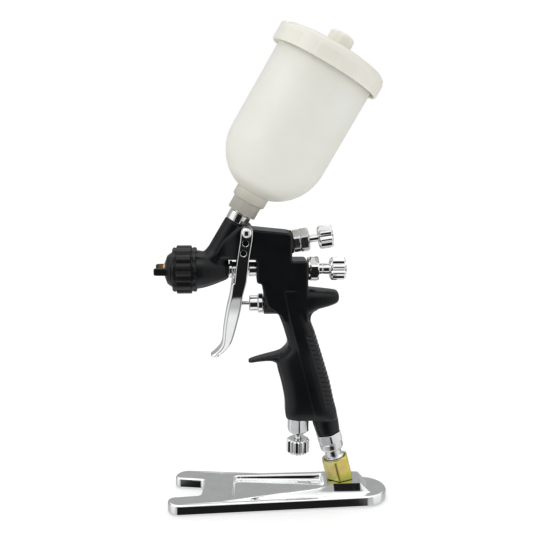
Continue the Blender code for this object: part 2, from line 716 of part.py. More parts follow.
def build_inlet(inlet):
    nipple = prism("air_inlet_nipple", hexagon(14.6, 36), -GAP, -4.9, "satin_steel", inlet)
    second = prism("nipple_second_hex", hexagon(12.6, 36), -4.6, -9.6, parent=inlet)
    thread = turned("nipple_thread", [
        (0, 7.5), (5.0, 7.5), (5.0, -8.0), (5.4, -9.0), (5.4, -13.6), (THREAD_RADIUS, -14.2),
        (THREAD_RADIUS, -22.4), (5.6, -23.4), (0, -23.4)], parent=inlet)
    join(nipple, second, thread)
    cut(nipple, rod("nipple_bore", 3.4, 20, -40, parent=inlet))
    return nipple


def main():
    axes = {
        "needle": add_axis("needle_axis", (0, NEEDLE_Z), 90),
        "valve": add_axis("valve_axis", (0, VALVE_Z), 90),
        "cup": add_axis("cup_axis", CUP_BASE, CUP_TILT),
        "inlet": add_axis("inlet_axis", INLET_FOOT, INLET_TILT),
        "airflow": add_axis("airflow_axis", AIRFLOW_FOOT, 180),
        "pattern": add_axis("pattern_axis", PATTERN_FACE, PATTERN_TILT),
        "crossing": add_axis("crossing_axis", (15.8, 64.0), 60),
        "pivot": add_axis("pivot_axis", PIVOT, 0),
    }
    axes["pivot"].rotation_euler = (math.pi / 2, 0, 0)
    made = [build_stand(), build_coupling_nut(axes["inlet"]), build_gun_body(axes)]
    made += build_spray_head(axes["needle"])
    made += build_needle(axes["needle"])
    made += build_screw_control(
        "pattern", axes["pattern"],
        [(0, 5.4), (7.0, 5.4), (7.2, 5.0), (7.2, 1.3), (4.0, 1.3), (4.0, -12), (0, -12)],
        13.2, (11.0, 5.0), (2.4, -16.0, 17.6), (25.6, 16.6))
    made += build_screw_control(
        "airflow", axes["airflow"],
        [(0, 11.4), (3.9, 11.4), (3.9, 9.6), (6.2, 9.4), (6.2, GAP), (4.0, GAP), (4.0, -12),
         (0, -12)],
        12.4, (9.2, GAP), (2.2, -10.0, 21.5), (23.7, 14.2))
    made += build_air_valve(axes["valve"])
    made.append(build_trigger())
    made += build_pivot(axes["pivot"])
    made += build_cup(axes["cup"])
    made.append(build_inlet(axes["inlet"]))
    for obj in made:
        if obj.type == 'MESH':
            smooth(obj)


clear_scene()
PARTS, TOOLS = make_collections()
MATERIALS = make_materials()
main()
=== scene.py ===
"""Looks of the gravity feed spray gun on its stand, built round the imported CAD.

Lengths in this file are millimetres, turned into metres by MM when a mesh is
made. The frame is the CAD's: +Z up, the nozzle towards -X, the floor at Z = 0.
"""
import math

import bmesh
import bpy
import numpy as np
from mathutils import Matrix, Vector
from mathutils.geometry import delaunay_2d_cdt


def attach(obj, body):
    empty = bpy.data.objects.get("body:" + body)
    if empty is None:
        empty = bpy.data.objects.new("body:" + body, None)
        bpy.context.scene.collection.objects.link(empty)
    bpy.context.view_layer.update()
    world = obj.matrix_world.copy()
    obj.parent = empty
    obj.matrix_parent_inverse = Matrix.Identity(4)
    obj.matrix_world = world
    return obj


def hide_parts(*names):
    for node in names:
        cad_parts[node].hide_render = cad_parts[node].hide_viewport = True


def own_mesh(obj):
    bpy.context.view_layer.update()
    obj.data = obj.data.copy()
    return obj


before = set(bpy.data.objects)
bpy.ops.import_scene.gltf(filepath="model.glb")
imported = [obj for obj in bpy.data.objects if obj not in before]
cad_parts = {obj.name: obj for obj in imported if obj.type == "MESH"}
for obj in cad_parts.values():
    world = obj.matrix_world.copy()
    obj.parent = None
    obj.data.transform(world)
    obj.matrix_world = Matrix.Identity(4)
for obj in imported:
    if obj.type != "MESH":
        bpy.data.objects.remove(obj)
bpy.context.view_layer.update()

MM = 0.001

# Main axes: a point in the XZ plane and the tilt of the axis from vertical
NEEDLE_Z = 149.8
VALVE_Z = 128.4
PIVOT = (-16.6, 173.8)
CUP_BASE = (-20.4, 183.15)
CUP_TILT = 30.1
INLET_FOOT = (35.6, 42.0)
INLET_TILT = -14.0
AIRFLOW_FOOT = (15.8, 54.1)
PATTERN_FACE = (10.8, 166.7)
PATTERN_TILT = 82.0

# Stand
STAND_PIVOT_X = 39.0
STAND_TURN = -1.8
STAND_OFFSET = -1.5
STAND_FRONT = -65.2
FRONT_SKEW = 0.045
STAND_FRONT_HALF = 26.8
STAND_REAR_RADIUS = 15.2
STAND_REAR_CENTRE = 57.4
SKIRT_HEIGHT = 7.0
SKIRT_ROUNDING = 1.3
FORK_DEPTH = 19.8
FORK_MOUTH_HALF = 13.7
FORK_ROOT_HALF = 11.0
SADDLE_Z = 13.4
RECESS_FLOOR = 5.0
POCKET_ROOF = 2.8
WALL = 3.2

GAP = 0.3
SHARP = 32
HEX_CLIP = 28.4
THREAD_RADIUS = 6.55
THREAD_PITCH = 1.6
KNOB_RADIUS = 7.3

# Cup, along its own axis
CUP_RADIUS = 31.0
CUP_WALL = 1.6
BOWL_CENTRE = 45.1
CUP_RIM = 108.4
LID_RADIUS = 35.3
LID_EDGE = 99.6
LID_TOP = 112.0
LID_RIB = 0.22
LID_RIB_STEP = 22.5
LID_RIB_TURN = 130.0

# Trigger
EAR_MID = 11.75
PLATE = 1.7
EAR_RADIUS = 3.9
BODY_HALF = 10.4


def at(x, y, z):
    return Matrix.Translation((x * MM, y * MM, z * MM))


def spin(degrees, way):
    return Matrix.Rotation(math.radians(degrees), 4, way)


def axis(point, tilt):
    """Matrix whose +Z leans by tilt degrees from vertical towards +X."""
    return at(point[0], 0, point[1]) @ spin(tilt, 'Y')


UPRIGHT = Matrix.Identity(4)
SIDEWAYS = spin(90, 'X')
NEEDLE = axis((0, NEEDLE_Z), 90)
VALVE = axis((0, VALVE_Z), 90)
CUP = axis(CUP_BASE, CUP_TILT)
INLET = axis(INLET_FOOT, INLET_TILT)
AIRFLOW = axis(AIRFLOW_FOOT, 180)
PATTERN = axis(PATTERN_FACE, PATTERN_TILT)
PIVOT_AXIS = at(PIVOT[0], 0, PIVOT[1]) @ SIDEWAYS


# --- Materials

def fill(node, values):
    """Set a node's inputs, each _ in a key standing for a space."""
    for key, value in values.items():
        node.inputs[key.replace("_", " ")].default_value = value


class Graph:
    """Node tree of a material or of the world."""

    def __init__(self, owner):
        owner.use_nodes = True
        self.nodes = owner.node_tree.nodes
        self.links = owner.node_tree.links

    def node(self, kind, **values):
        node = self.nodes.new(kind)
        fill(node, values)
        return node

    def ramp(self, value, stops):
        """Colour that the (position, colour) stops give for the value."""
        ramp = self.nodes.new("ShaderNodeValToRGB")
        elements = ramp.color_ramp.elements
        while len(elements) < len(stops):
            elements.new(0.5)
        for element, (position, colour) in zip(elements, stops):
            element.position = position
            element.color = (*colour, 1)
        self.links.new(value, ramp.inputs["Fac"])
        return ramp.outputs["Color"]

    def span(self, value, low, high, start=0.3, end=0.7):
        """Value between start and end stretched to low and high."""
        node = self.node("ShaderNodeMapRange", From_Min=start, From_Max=end, To_Min=low,
                         To_Max=high)
        self.links.new(value, node.inputs["Value"])
        return node.outputs["Result"]

    def mix(self, factor, first, second):
        """Mix of two colours, each a tuple or another node's output."""
        node = self.nodes.new("ShaderNodeMix")
        node.data_type = 'RGBA'
        self.links.new(factor, node.inputs["Factor"])
        for socket, value in ((node.inputs[6], first), (node.inputs[7], second)):
            if isinstance(value, tuple):
                socket.default_value = (*value, 1)
            else:
                self.links.new(value, socket)
        return node.outputs[2]


class Look(Graph):
    """Procedural material."""

    def __init__(self, name, metallic, roughness):
        self.material = bpy.data.materials.new(name)
        super().__init__(self.material)
        self.shader = self.nodes["Principled BSDF"]
        self.set(Metallic=metallic, Roughness=roughness)
        self.place = self.nodes.new("ShaderNodeTexCoord").outputs["Object"]

    def set(self, **values):
        fill(self.shader, values)

    def noise(self, scale, detail=3.0, stretch=(1, 1, 1)):
        """Noise with features about 1/scale millimetres apart."""
        mapping = self.node("ShaderNodeMapping", Scale=stretch)
        texture = self.node("ShaderNodeTexNoise", Scale=scale / MM, Detail=detail)
        self.links.new(self.place, mapping.inputs["Vector"])
        self.links.new(mapping.outputs["Vector"], texture.inputs["Vector"])
        return texture.outputs["Fac"]

    def clouds(self, scale, detail, low, high):
        """Cloudy mix of two colours."""
        return self.ramp(self.noise(scale, detail), [(0.3, low), (0.7, high)])

    def along(self, matrix):
        """Millimetres along a matrix's Z axis from its origin."""
        way = matrix.to_3x3() @ Vector((0, 0, 1))
        dot = self.nodes.new("ShaderNodeVectorMath")
        dot.operation = 'DOT_PRODUCT'
        dot.inputs[1].default_value = way / MM
        self.links.new(self.place, dot.inputs[0])
        start = self.nodes.new("ShaderNodeMath")
        start.operation = 'SUBTRACT'
        start.inputs[1].default_value = matrix.translation.dot(way) / MM
        self.links.new(dot.outputs["Value"], start.inputs[0])
        return start.outputs[0]

    def edges(self):
        """Near 1 on worn outer edges."""
        pointiness = self.nodes.new("ShaderNodeNewGeometry").outputs["Pointiness"]
        return self.span(pointiness, 0, 1, 0.56, 0.68)

    def colour(self, output):
        self.links.new(output, self.shader.inputs["Base Color"])

    def rough(self, output):
        self.links.new(output, self.shader.inputs["Roughness"])

    def bump(self, output, height):
        """Bump of the given height in millimetres."""
        node = self.node("ShaderNodeBump", Strength=1, Distance=height * MM)
        self.links.new(output, node.inputs["Height"])
        self.links.new(node.outputs["Normal"], self.shader.inputs["Normal"])


def metal(name, pale, dark, roughness, spread, grain, height, stretch=(1, 1, 1)):
    """Metal with a faint cloudiness, fine lines or grain, and uneven gloss."""
    look = Look(name, 1, roughness)
    cloud = look.noise(0.12, 4)
    lines = look.noise(grain, 3, stretch)
    look.colour(look.ramp(cloud, [(0.25, dark), (0.75, pale)]))
    look.rough(look.span(lines, roughness - spread, roughness + spread))
    look.bump(lines, height)
    return look.material


METALS = {
    "chrome": ("bright_chrome", (0.86, 0.865, 0.87), (0.78, 0.785, 0.79), 0.085, 0.03, 1.2, 0.002),
    "stand_chrome": ("cast_stand_chrome", (0.86, 0.87, 0.87), (0.79, 0.8, 0.8), 0.06, 0.025,
                     0.06, 0.03),
    "satin_steel": ("satin_plated_steel", (0.74, 0.75, 0.755), (0.6, 0.61, 0.62), 0.2, 0.06,
                    1.5, 0.004, (1, 1, 0.12)),
    "brass": ("turned_brass", (0.8, 0.6, 0.27), (0.66, 0.46, 0.18), 0.24, 0.06, 1.5, 0.004),
    "spring_steel": ("spring_wire", (0.55, 0.55, 0.56), (0.42, 0.42, 0.43), 0.3, 0.06, 2, 0.003)}


def make_materials():
    made = {key: metal(*row) for key, row in METALS.items()}
    body = Look("satin_black_coat", 0, 0.34)
    grain = body.noise(2.2, 4)
    cloud = body.noise(0.06)
    tone = body.ramp(cloud, [(0.3, (0.003, 0.0034, 0.0044)), (0.7, (0.005, 0.0057, 0.0072))])
    body.colour(body.mix(body.edges(), tone, (0.016, 0.017, 0.018)))
    body.rough(body.span(cloud, 0.27, 0.36))
    body.bump(grain, 0.012)
    body.set(Specular_IOR_Level=0.27)
    made["black_anodised"] = body.material

    plastic = Look("moulded_black_ring", 0, 0.38)
    fine = plastic.noise(1.6, 4)
    plastic.colour(plastic.clouds(0.1, 2, (0.003, 0.0032, 0.0034), (0.006, 0.0063, 0.0062)))
    plastic.rough(plastic.span(fine, 0.3, 0.46))
    plastic.bump(fine, 0.014)
    plastic.set(Specular_IOR_Level=0.3)
    made["black_plastic"] = plastic.material

    zinc = Look("yellow_passivated_zinc", 1, 0.3)
    patches = zinc.noise(0.16, 5)
    streaks = zinc.noise(0.45, 4, (1, 1, 0.4))
    gold = zinc.ramp(patches, [
        (0.32, (0.52, 0.52, 0.1)), (0.45, (0.68, 0.56, 0.12)), (0.56, (0.74, 0.46, 0.2)),
        (0.68, (0.42, 0.52, 0.16))])
    green = zinc.ramp(streaks, [(0.35, (0.38, 0.5, 0.14)), (0.65, (0.7, 0.54, 0.13))])
    mingled = zinc.mix(zinc.span(streaks, 0.15, 0.6), gold, green)
    blush = zinc.ramp(patches, [
        (0.35, (0.66, 0.46, 0.22)), (0.52, (0.62, 0.6, 0.26)), (0.66, (0.72, 0.44, 0.34))])
    faces = zinc.mix(zinc.span(zinc.along(NEEDLE), 0.75, 0, 36.5, 41), mingled, blush)
    # The nut's foot, where it sits on the stand, turns dark olive: painted shade.
    shaded_foot = zinc.span(zinc.along(UPRIGHT), 0.7, 0, 13.6, 19.5)
    zinc.colour(zinc.mix(shaded_foot, faces, (0.22, 0.26, 0.05)))
    zinc.rough(zinc.span(streaks, 0.24, 0.4))
    zinc.bump(zinc.noise(0.9, 4), 0.01)
    made["zinc_yellow"] = zinc.material

    cup = Look("milky_cup_plastic", 0, 0.32)
    bowl = cup.clouds(0.04, 3, (0.78, 0.76, 0.655), (0.81, 0.8, 0.72))
    # The cup's neck and hex are greyed, darkest nearest the gun: painted shade on the thick neck.
    height = cup.span(cup.along(CUP), 0, 1, 1.5, 24)
    stem = cup.ramp(height, [
        (0, (0.3, 0.29, 0.26)), (0.35, (0.4, 0.385, 0.34)), (0.7, (0.62, 0.6, 0.52)),
        (1, (0.76, 0.745, 0.655))])
    cup.colour(cup.mix(cup.span(height, 0, 1, 0.8, 1), stem, bowl))
    cup.rough(cup.span(cup.noise(0.5), 0.28, 0.4))
    cup.bump(cup.noise(0.7, 4), 0.012)
    cup.set(Subsurface_Weight=0.6, Subsurface_Radius=(0.006, 0.0055, 0.0045), Subsurface_Scale=1)
    made["cup_white"] = cup.material

    lid = Look("moulded_lid_plastic", 0, 0.35)
    lid.colour(lid.clouds(0.05, 3, (0.69, 0.68, 0.61), (0.745, 0.73, 0.655)))
    lid.rough(lid.span(lid.noise(0.6), 0.3, 0.42))
    lid.bump(lid.noise(0.9, 4), 0.014)
    lid.set(Subsurface_Weight=0.4, Subsurface_Radius=(0.004, 0.0037, 0.003), Subsurface_Scale=1)
    made["lid_white"] = lid.material

    seal = Look("white_seal", 0, 0.5)
    seal.colour(seal.clouds(0.3, 3, (0.8, 0.8, 0.79), (0.88, 0.88, 0.87)))
    seal.bump(seal.noise(1.5, 4), 0.01)
    made["seal_white"] = seal.material
    return made


LOOKS = make_materials()


# --- Meshes

def loose(builder):
    """Mesh from a bmesh, its faces pointing out."""
    bmesh.ops.recalc_face_normals(builder, faces=builder.faces)
    mesh = bpy.data.meshes.new("shape")
    builder.to_mesh(mesh)
    builder.free()
    return mesh


def polar(radius, angle, x=0, y=0):
    """Point at a radius and an angle from (x, y)."""
    return x + radius * math.cos(angle), y + radius * math.sin(angle)


def vertices(builder, points):
    """New vertices at points given in millimetres."""
    return [builder.verts.new([c * MM for c in point]) for point in points]


def skin(builder, rings):
    """Faces between each two neighbours among rings of equally many vertices."""
    for first, second in zip(rings, rings[1:]):
        for i in range(len(first)):
            j = (i + 1) % len(first)
            builder.faces.new((first[i], first[j], second[j], second[i]))


def piece(name, parts):
    """Object made of (mesh, matrix) pairs."""
    builder = bmesh.new()
    for mesh, matrix in parts:
        mesh.transform(matrix)
        builder.from_mesh(mesh)
        bpy.data.meshes.remove(mesh)
    whole = bpy.data.meshes.new(name)
    builder.to_mesh(whole)
    builder.free()
    obj = bpy.data.objects.new(name, whole)
    bpy.context.scene.collection.objects.link(obj)
    return obj


def settle(obj, look, sharp, body, *nodes):
    """Shade the object smooth between edges sharper than so many degrees, and put it on
    its body in place of the CAD's nodes."""
    obj.data.materials.clear()
    obj.data.materials.append(LOOKS[look])
    obj.data.shade_smooth()
    obj.data.set_sharp_from_angle(angle=math.radians(sharp))
    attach(obj, body)
    if nodes:
        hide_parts(*nodes)


def add(name, parts, look, body, *nodes, sharp=SHARP):
    obj = piece(name, parts)
    settle(obj, look, sharp, body, *nodes)
    return obj


def applied(obj):
    """Replace the object's mesh by what its modifiers make of it."""
    graph = bpy.context.evaluated_depsgraph_get()
    graph.update()
    mesh = bpy.data.meshes.new_from_object(obj.evaluated_get(graph))
    obj.modifiers.clear()
    obj.data = mesh
    return obj


def combine(obj, parts, operation):
    """Join or cut the object with closed (mesh, matrix) pairs, one by one."""
    for mesh, matrix in parts:
        mesh.transform(matrix)
        tool = bpy.data.objects.new("tool", mesh)
        bpy.context.scene.collection.objects.link(tool)
        modifier = obj.modifiers.new("step", 'BOOLEAN')
        modifier.operation = operation
        modifier.solver = 'MANIFOLD'
        modifier.object = tool
        applied(obj)
        bpy.data.objects.remove(tool, do_unlink=True)
    return obj


def eased(profile, width, closed=False):
    """Profile with its corners rounded over at most width."""
    points = []
    count = len(profile)
    for i, corner in enumerate(profile):
        here = Vector(corner)
        before = Vector(profile[i - 1]) - here
        after = Vector(profile[(i + 1) % count]) - here
        end = not closed and i in (0, count - 1)
        if end or before.angle(after) > math.radians(168):
            points.append(here)
            continue
        start = here + before.normalized() * min(width, 0.45 * before.length)
        stop = here + after.normalized() * min(width, 0.45 * after.length)
        for k in range(5):
            t = k / 4
            points.append(start * (1 - t) ** 2 + here * 2 * t * (1 - t) + stop * t * t)
    return [tuple(p) for p in points]


def hex_angles(turn):
    """Angles that follow a hexagon's faces and clip its corners."""
    offsets = (-HEX_CLIP, -20, -10, 0, 10, 20, HEX_CLIP)
    return [math.radians(turn + 30 + 60 * face + o) for face in range(6) for o in offsets]


def turned(profile, angles=96, shape=None, ease=0.3):
    """Turn (radius, height) points about local Z. shape(angle, r, z) gives the radius.
    A profile that starts off the axis goes round to its start."""
    closed = profile[0][0] > 0
    if isinstance(angles, int):
        angles = [2 * math.pi * i / angles for i in range(angles)]
    builder = bmesh.new()
    rings = []
    for r, z in eased(profile, ease, closed):
        if r < 1e-5:
            rings.append(vertices(builder, [(0, 0, z)]))
            continue
        reaches = [shape(angle, r, z) if shape else r for angle in angles]
        rings.append(vertices(builder, [(*polar(reach, angle), z)
                                        for angle, reach in zip(angles, reaches)]))
    count = len(angles)
    for upper, lower in zip(rings, rings[1:] + (rings[:1] if closed else [])):
        if len(upper) == len(lower):
            skin(builder, [upper, lower])
            continue
        for i in range(count):
            j = (i + 1) % count
            top_cap = len(upper) == 1
            builder.faces.new((upper[0], lower[i], lower[j]) if top_cap
                              else (upper[i], upper[j], lower[0]))
    return loose(builder)


def hexed(flats, turn):
    """Radius limited to a hexagon with slightly clipped corners."""
    def shape(angle, r, z):
        off = (math.degrees(angle) - turn) % 60 - 30
        return min(r, flats / 2 / math.cos(math.radians(min(abs(off), HEX_CLIP))))
    return shape


def turned_hexagon(profile, flats, turn, ease=0.25):
    """Turned nut or bush whose widest parts are a hexagon."""
    return turned(profile, hex_angles(turn), hexed(flats, turn), ease)


def fluted(count, depth, core, sharpness=1):
    """Grip whose flutes run out where the profile is narrower than its core."""
    def shape(angle, r, z):
        groove = (0.5 - 0.5 * math.cos(count * angle)) ** sharpness
        return max(min(r, core), r - depth * groove)
    return shape


def rod(radius, top, bottom, steps=32):
    return turned([(0, top), (radius, top), (radius, bottom), (0, bottom)], steps, ease=0)


def filleted(corners, steps=8):
    """Closed outline with each corner (x, y, radius) replaced by an arc."""
    points = []
    count = len(corners)
    for i, (x, y, radius) in enumerate(corners):
        here = Vector((x, y))
        before = (Vector(corners[i - 1][:2]) - here).normalized()
        after = (Vector(corners[(i + 1) % count][:2]) - here).normalized()
        if radius == 0:
            points.append((x, y))
            continue
        half = before.angle(after) / 2
        centre = here + (before + after).normalized() * radius / math.sin(half)
        start = here + before * radius / math.tan(half) - centre
        end = here + after * radius / math.tan(half) - centre
        sweep = start.angle_signed(end)
        for k in range(steps + 1):
            turn = -sweep * k / steps
            cos, sin = math.cos(turn), math.sin(turn)
            points.append((centre.x + start.x * cos - start.y * sin,
                           centre.y + start.x * sin + start.y * cos))
    return points


def prism(outline, top, bottom, rounding=0, segments=3):
    """Outline raised along local Z, its two rims rounded."""
    builder = bmesh.new()
    rings = []
    for height in (bottom, top):
        rings.append(vertices(builder, [(x, y, height) for x, y in outline]))
        builder.faces.new(rings[-1])
    skin(builder, rings)
    bmesh.ops.recalc_face_normals(builder, faces=builder.faces)
    if rounding:
        rims = [e for e in builder.edges if abs(e.verts[0].co.z - e.verts[1].co.z) < 1e-7]
        bmesh.ops.bevel(builder, geom=rims, offset=rounding * MM, segments=segments,
                        profile=0.5, affect='EDGES', clamp_overlap=True)
    bmesh.ops.triangulate(builder, faces=[f for f in builder.faces if len(f.verts) > 4])
    return loose(builder)


def section(across, deep, power, sides):
    """Rounded section from an ellipse (power 2) towards a box (higher powers)."""
    points = []
    for i in range(sides):
        angle = 2 * math.pi * (i + 0.5) / sides
        cos, sin = math.cos(angle), math.sin(angle)
        points.append((across * math.copysign(abs(cos) ** (2 / power), cos),
                       deep * math.copysign(abs(sin) ** (2 / power), sin)))
    return points


def between(rows, fine):
    """Rows of numbers with fine Catmull-Rom steps between each two."""
    rows = [np.array(row, float) for row in rows]
    out = []
    for i in range(len(rows) - 1):
        a, b = rows[max(i - 1, 0)], rows[i]
        c, d = rows[i + 1], rows[min(i + 2, len(rows) - 1)]
        for k in range(fine):
            t = k / fine
            out.append(0.5 * (2 * b + (c - a) * t + (2 * a - 5 * b + 4 * c - d) * t * t
                              + (3 * b - a - 3 * c + d) * t ** 3))
    out.append(rows[-1])
    return out


def loft(rows):
    """Skin equal rings of points, both ends closed."""
    builder = bmesh.new()
    rings = [vertices(builder, row) for row in rows]
    skin(builder, rings)
    for end in (rings[0], rings[-1]):
        builder.faces.new(end)
    bmesh.ops.triangulate(builder, faces=[f for f in builder.faces if len(f.verts) > 4])
    return loose(builder)


def limb(rows, sides, level=False):
    """Loft of (station, low, high, half thickness, power) rows. Stations are heights
    and spans run along X, or the other way round if the limb is level."""
    rings = []
    for station, low, high, half, power in between(rows, 4):
        middle, reach = (low + high) / 2, (high - low) / 2
        ring = [(middle + a, d) for a, d in section(reach, half, power, sides)]
        rings.append([(station, d, a) if level else (a, d, station) for a, d in ring])
    return loft(rings)


# --- Gun casting

HANDLE_ROWS = [
    (54.4, 7.9, 40.6, 9.2, 3.4), (59, 7.3, 40, 11, 3.2), (67, 6.9, 38, 12.2, 3),
    (78, 4.8, 35.6, 12.6, 2.8), (88, 2.2, 32.7, 12.8, 2.8), (95, 2, 30.6, 12.6, 2.8),
    (102, 8.3, 28.4, 12.2, 2.8), (110, 7, 25.9, 11.8, 3),
    (118, 4.4, 22.9, 11.2, 3.2), (126, 1, 21.5, 10.4, 3.4)]
HOOK_ROWS = [
    (-15.8, 91, 92, 3, 2.2), (-14.2, 90.7, 92.9, 4.6, 2.2), (-8, 91.6, 94.7, 5.6, 2.4),
    (-1, 91.8, 96.4, 6.6, 2.6), (4, 89, 98, 7.8, 2.8), (10, 86, 101, 9.4, 3)]
TANG_ROWS = [
    (12, 118, 138.6, 10.4, 3.4), (20.6, 121.4, 138.2, 10.4, 3.2),
    (26.5, 124.6, 137.6, 10, 3), (34, 126.6, 136.8, 8.8, 2.8),
    (38.8, 128.4, 136.1, 7.2, 2.6), (40.2, 130.2, 134.6, 5.4, 2.4)]
SLAB = [
    (-36, 157, 3), (-10.6, 156.8, 1.2), (-10.6, 142.2, 1.5), (-7.7, 142.2, 1),
    (-6.4, 135.4, 0), (-4, 128, 0), (4.5, 121.5, 0), (6, 118, 0), (21, 118, 0),
    (20.6, 155.9, 1.6), (10.9, 155.9, 1), (10.9, 172.9, 3), (-13, 175.4, 5),
    (-19.5, 178.2, 4), (-30, 168, 3)]
TANG_FILLET = (27.8, 119.7)
TANG_FILLET_RADIUS = 5.0
VOXEL = 0.5

# Ribs at the back of the handle
RIB_SPAN = (62, 111)
RIB_FADE = 2.0
RIB_PITCH = 2.9
RIB_DEPTH = 0.9
RIB_LEAN = 0.04
RIB_REACH = 6.4
HANDLE_X = 12.0

# Raised panel on the handle's sides: its front edge at four heights
PANEL_HEIGHTS = (56, 64, 120, 138)
PANEL_EDGE = (25.6, 23.5, 9.2, 5.8)
PANEL_STEP = 0.4
PANEL_FADE = 0.7

# Taper of the slab into the cup neck
NECK_START = -20.5
NECK_RUN = 12.0
NECK_FOOT = 154.0
NECK_RISE = 5.0
NECK_HALF = 7.2


def rise(value, start, width):
    """0 up to start, then straight up to 1 over the width."""
    return np.clip((value - start) / width, 0, 1)


def smooth(t):
    return t * t * (3 - 2 * t)


def detail_casting(obj):
    """Grip ribs at the back of the handle, a raised panel on its sides, and the taper
    of the slab into the cup neck."""
    points, normals = np.zeros((2, len(obj.data.vertices) * 3))
    obj.data.vertices.foreach_get("co", points)
    obj.data.vertices.foreach_get("normal", normals)
    points = points.reshape(-1, 3) / MM
    normals = normals.reshape(-1, 3)
    x, height = points[:, 0], points[:, 2]
    z = height + RIB_LEAN * (x - 30)
    rear = np.interp(height, [row[0] for row in HANDLE_ROWS], [row[2] for row in HANDLE_ROWS])
    span = rise(z, RIB_SPAN[0], RIB_FADE) * rise(-z, -RIB_SPAN[1], RIB_FADE)
    near = rise(x - rear, -RIB_REACH, 0.7) * span * (x > HANDLE_X)
    wave = 0.5 + 0.5 * np.cos(2 * math.pi * z / RIB_PITCH)
    depth = RIB_DEPTH * near * (1 - wave ** 0.7)
    edge = np.interp(height, PANEL_HEIGHTS, PANEL_EDGE)
    low = 1 - rise(x, edge, PANEL_FADE)
    high = 1 - rise(x, HANDLE_X, 6)
    above = rise(height, PANEL_HEIGHTS[-1] - PANEL_FADE, PANEL_FADE)
    depth += PANEL_STEP * (low + (high - low) * above) * (abs(normals[:, 1]) > 0.3)
    points -= normals * depth[:, None]
    ahead = rise(-points[:, 0], -NECK_START, NECK_RUN) * rise(points[:, 2], NECK_FOOT, NECK_RISE)
    extra = np.maximum(abs(points[:, 1]) - NECK_HALF, 0)
    points[:, 1] -= np.sign(points[:, 1]) * extra * smooth(ahead)
    obj.data.vertices.foreach_set("co", (points * MM).ravel())
    obj.data.update()


def make_casting():
    head = turned([(0, -27.4), (5.2, -27.4), (6.4, -29), (8.6, -34.5), (10.2, -39),
                   (11.3, -43), (11.9, -46.9), (11.9, -51.5), (0, -51.5)], 96)
    neck = turned([(0, -4.9), (6.6, -4.9), (7, -5.4), (7.2, -26), (8.2, -31),
                   (6, -36), (0, -38)], 72)
    under = [(19, 115), (19, 128), (28, 128)]
    for degrees in range(104, 197, 8):
        under.append(polar(TANG_FILLET_RADIUS, math.radians(degrees), *TANG_FILLET))
    parts = [
        (prism(filleted(SLAB), BODY_HALF, -BODY_HALF, 2.4, 4), SIDEWAYS),
        (head, NEEDLE), (neck, CUP),
        (limb(HANDLE_ROWS, 40), UPRIGHT), (limb(HOOK_ROWS, 32, True), UPRIGHT),
        (limb(TANG_ROWS, 32, True), UPRIGHT), (rod(6.8, 8, -6.3, 64), VALVE),
        (turned([(0, 16), (8.2, 16), (8.2, 9), (7.5, 1.9), (0, 1.9)], 72), INLET),
        (rod(7.2, 1, -9, 64), PATTERN), (prism(under, 7, -7, 3, 4), SIDEWAYS)]
    body = piece("gun_casting", parts)
    remesh = body.modifiers.new("whole", 'REMESH')
    remesh.mode = 'VOXEL'
    remesh.voxel_size = VOXEL * MM
    relax = body.modifiers.new("relax", 'SMOOTH')
    relax.factor = 0.5
    relax.iterations = 9
    applied(body)
    detail_casting(body)
    combine(body, [
        (turned([(0, 30), (4.9, 30), (4.9, -14), (3.6, -14), (3.6, -44), (9.2, -44),
                 (9.2, -60), (0, -60)], 48, ease=0), NEEDLE),
        (turned([(0, 5), (7.4, 5), (7.4, -4.85), (5, -4.85), (5, -17), (2.2, -17),
                 (2.2, -38.5), (0, -38.5)], 48, ease=0), CUP),
        (turned([(0, 86), (2.6, 86), (2.6, 9), (5.3, 9), (5.3, -10), (0, -10)], 48, ease=0),
         INLET),
        (rod(4.3, 16.4, -20, 40), VALVE), (rod(4.3, 10, -18, 40), PATTERN),
        (rod(4.3, 10, -14, 40), AIRFLOW), (rod(2.2, 20, -20, 32), PIVOT_AXIS)], 'DIFFERENCE')
    settle(body, "black_anodised", 42, "gun", "gun_body")


# --- Stand

def stand_outline(inset=0):
    """Fork at the front, straight sides and a round rear, seen from above."""
    front = STAND_FRONT + inset
    side = STAND_FRONT_HALF - inset
    mouth = FORK_MOUTH_HALF + inset
    root = FORK_ROOT_HALF + inset
    notch = STAND_FRONT + FORK_DEPTH + inset
    radius = STAND_REAR_RADIUS - inset
    tip = side - mouth
    half = [(notch, root, 3), (front, mouth, 0.31 * tip), (front, side, 0.62 * tip)]
    arc = [(*polar(radius, math.radians(85 - 170 * k / 24), STAND_REAR_CENTRE), 0)
           for k in range(25)]
    other = [(x, -y, r) for x, y, r in reversed(half)]
    fork = [[(x + FRONT_SKEW * y, y, r) for x, y, r in end] for end in (half, other)]
    return filleted(fork[0] + arc + fork[1])


def edge_distance(points, outline):
    """Distance of each point to the outline."""
    best = np.full(len(points), 1e9)
    ring = np.array(outline)
    for a, b in zip(ring, np.roll(ring, -1, axis=0)):
        along = b - a
        t = np.clip(((points - a) @ along) / (along @ along + 1e-12), 0, 1)
        best = np.minimum(best, np.linalg.norm(points - (a + t[:, None] * along), axis=1))
    return best


def inside(points, outline):
    ring = np.array(outline)
    hit = np.zeros(len(points), bool)
    for a, b in zip(ring, np.roll(ring, -1, axis=0)):
        crosses = (a[1] > points[:, 1]) != (b[1] > points[:, 1])
        climb = b[1] - a[1]
        reach = a[0] + (points[:, 1] - a[1]) * (b[0] - a[0]) / (climb if climb else 1e-12)
        hit ^= crosses & (points[:, 0] < reach)
    return hit


def blend_max(a, b, width):
    """Larger of two heights, rounded where they meet."""
    mixed = np.clip(0.5 + 0.5 * (a - b) / width, 0, 1)
    return b + (a - b) * mixed + width * mixed * (1 - mixed)


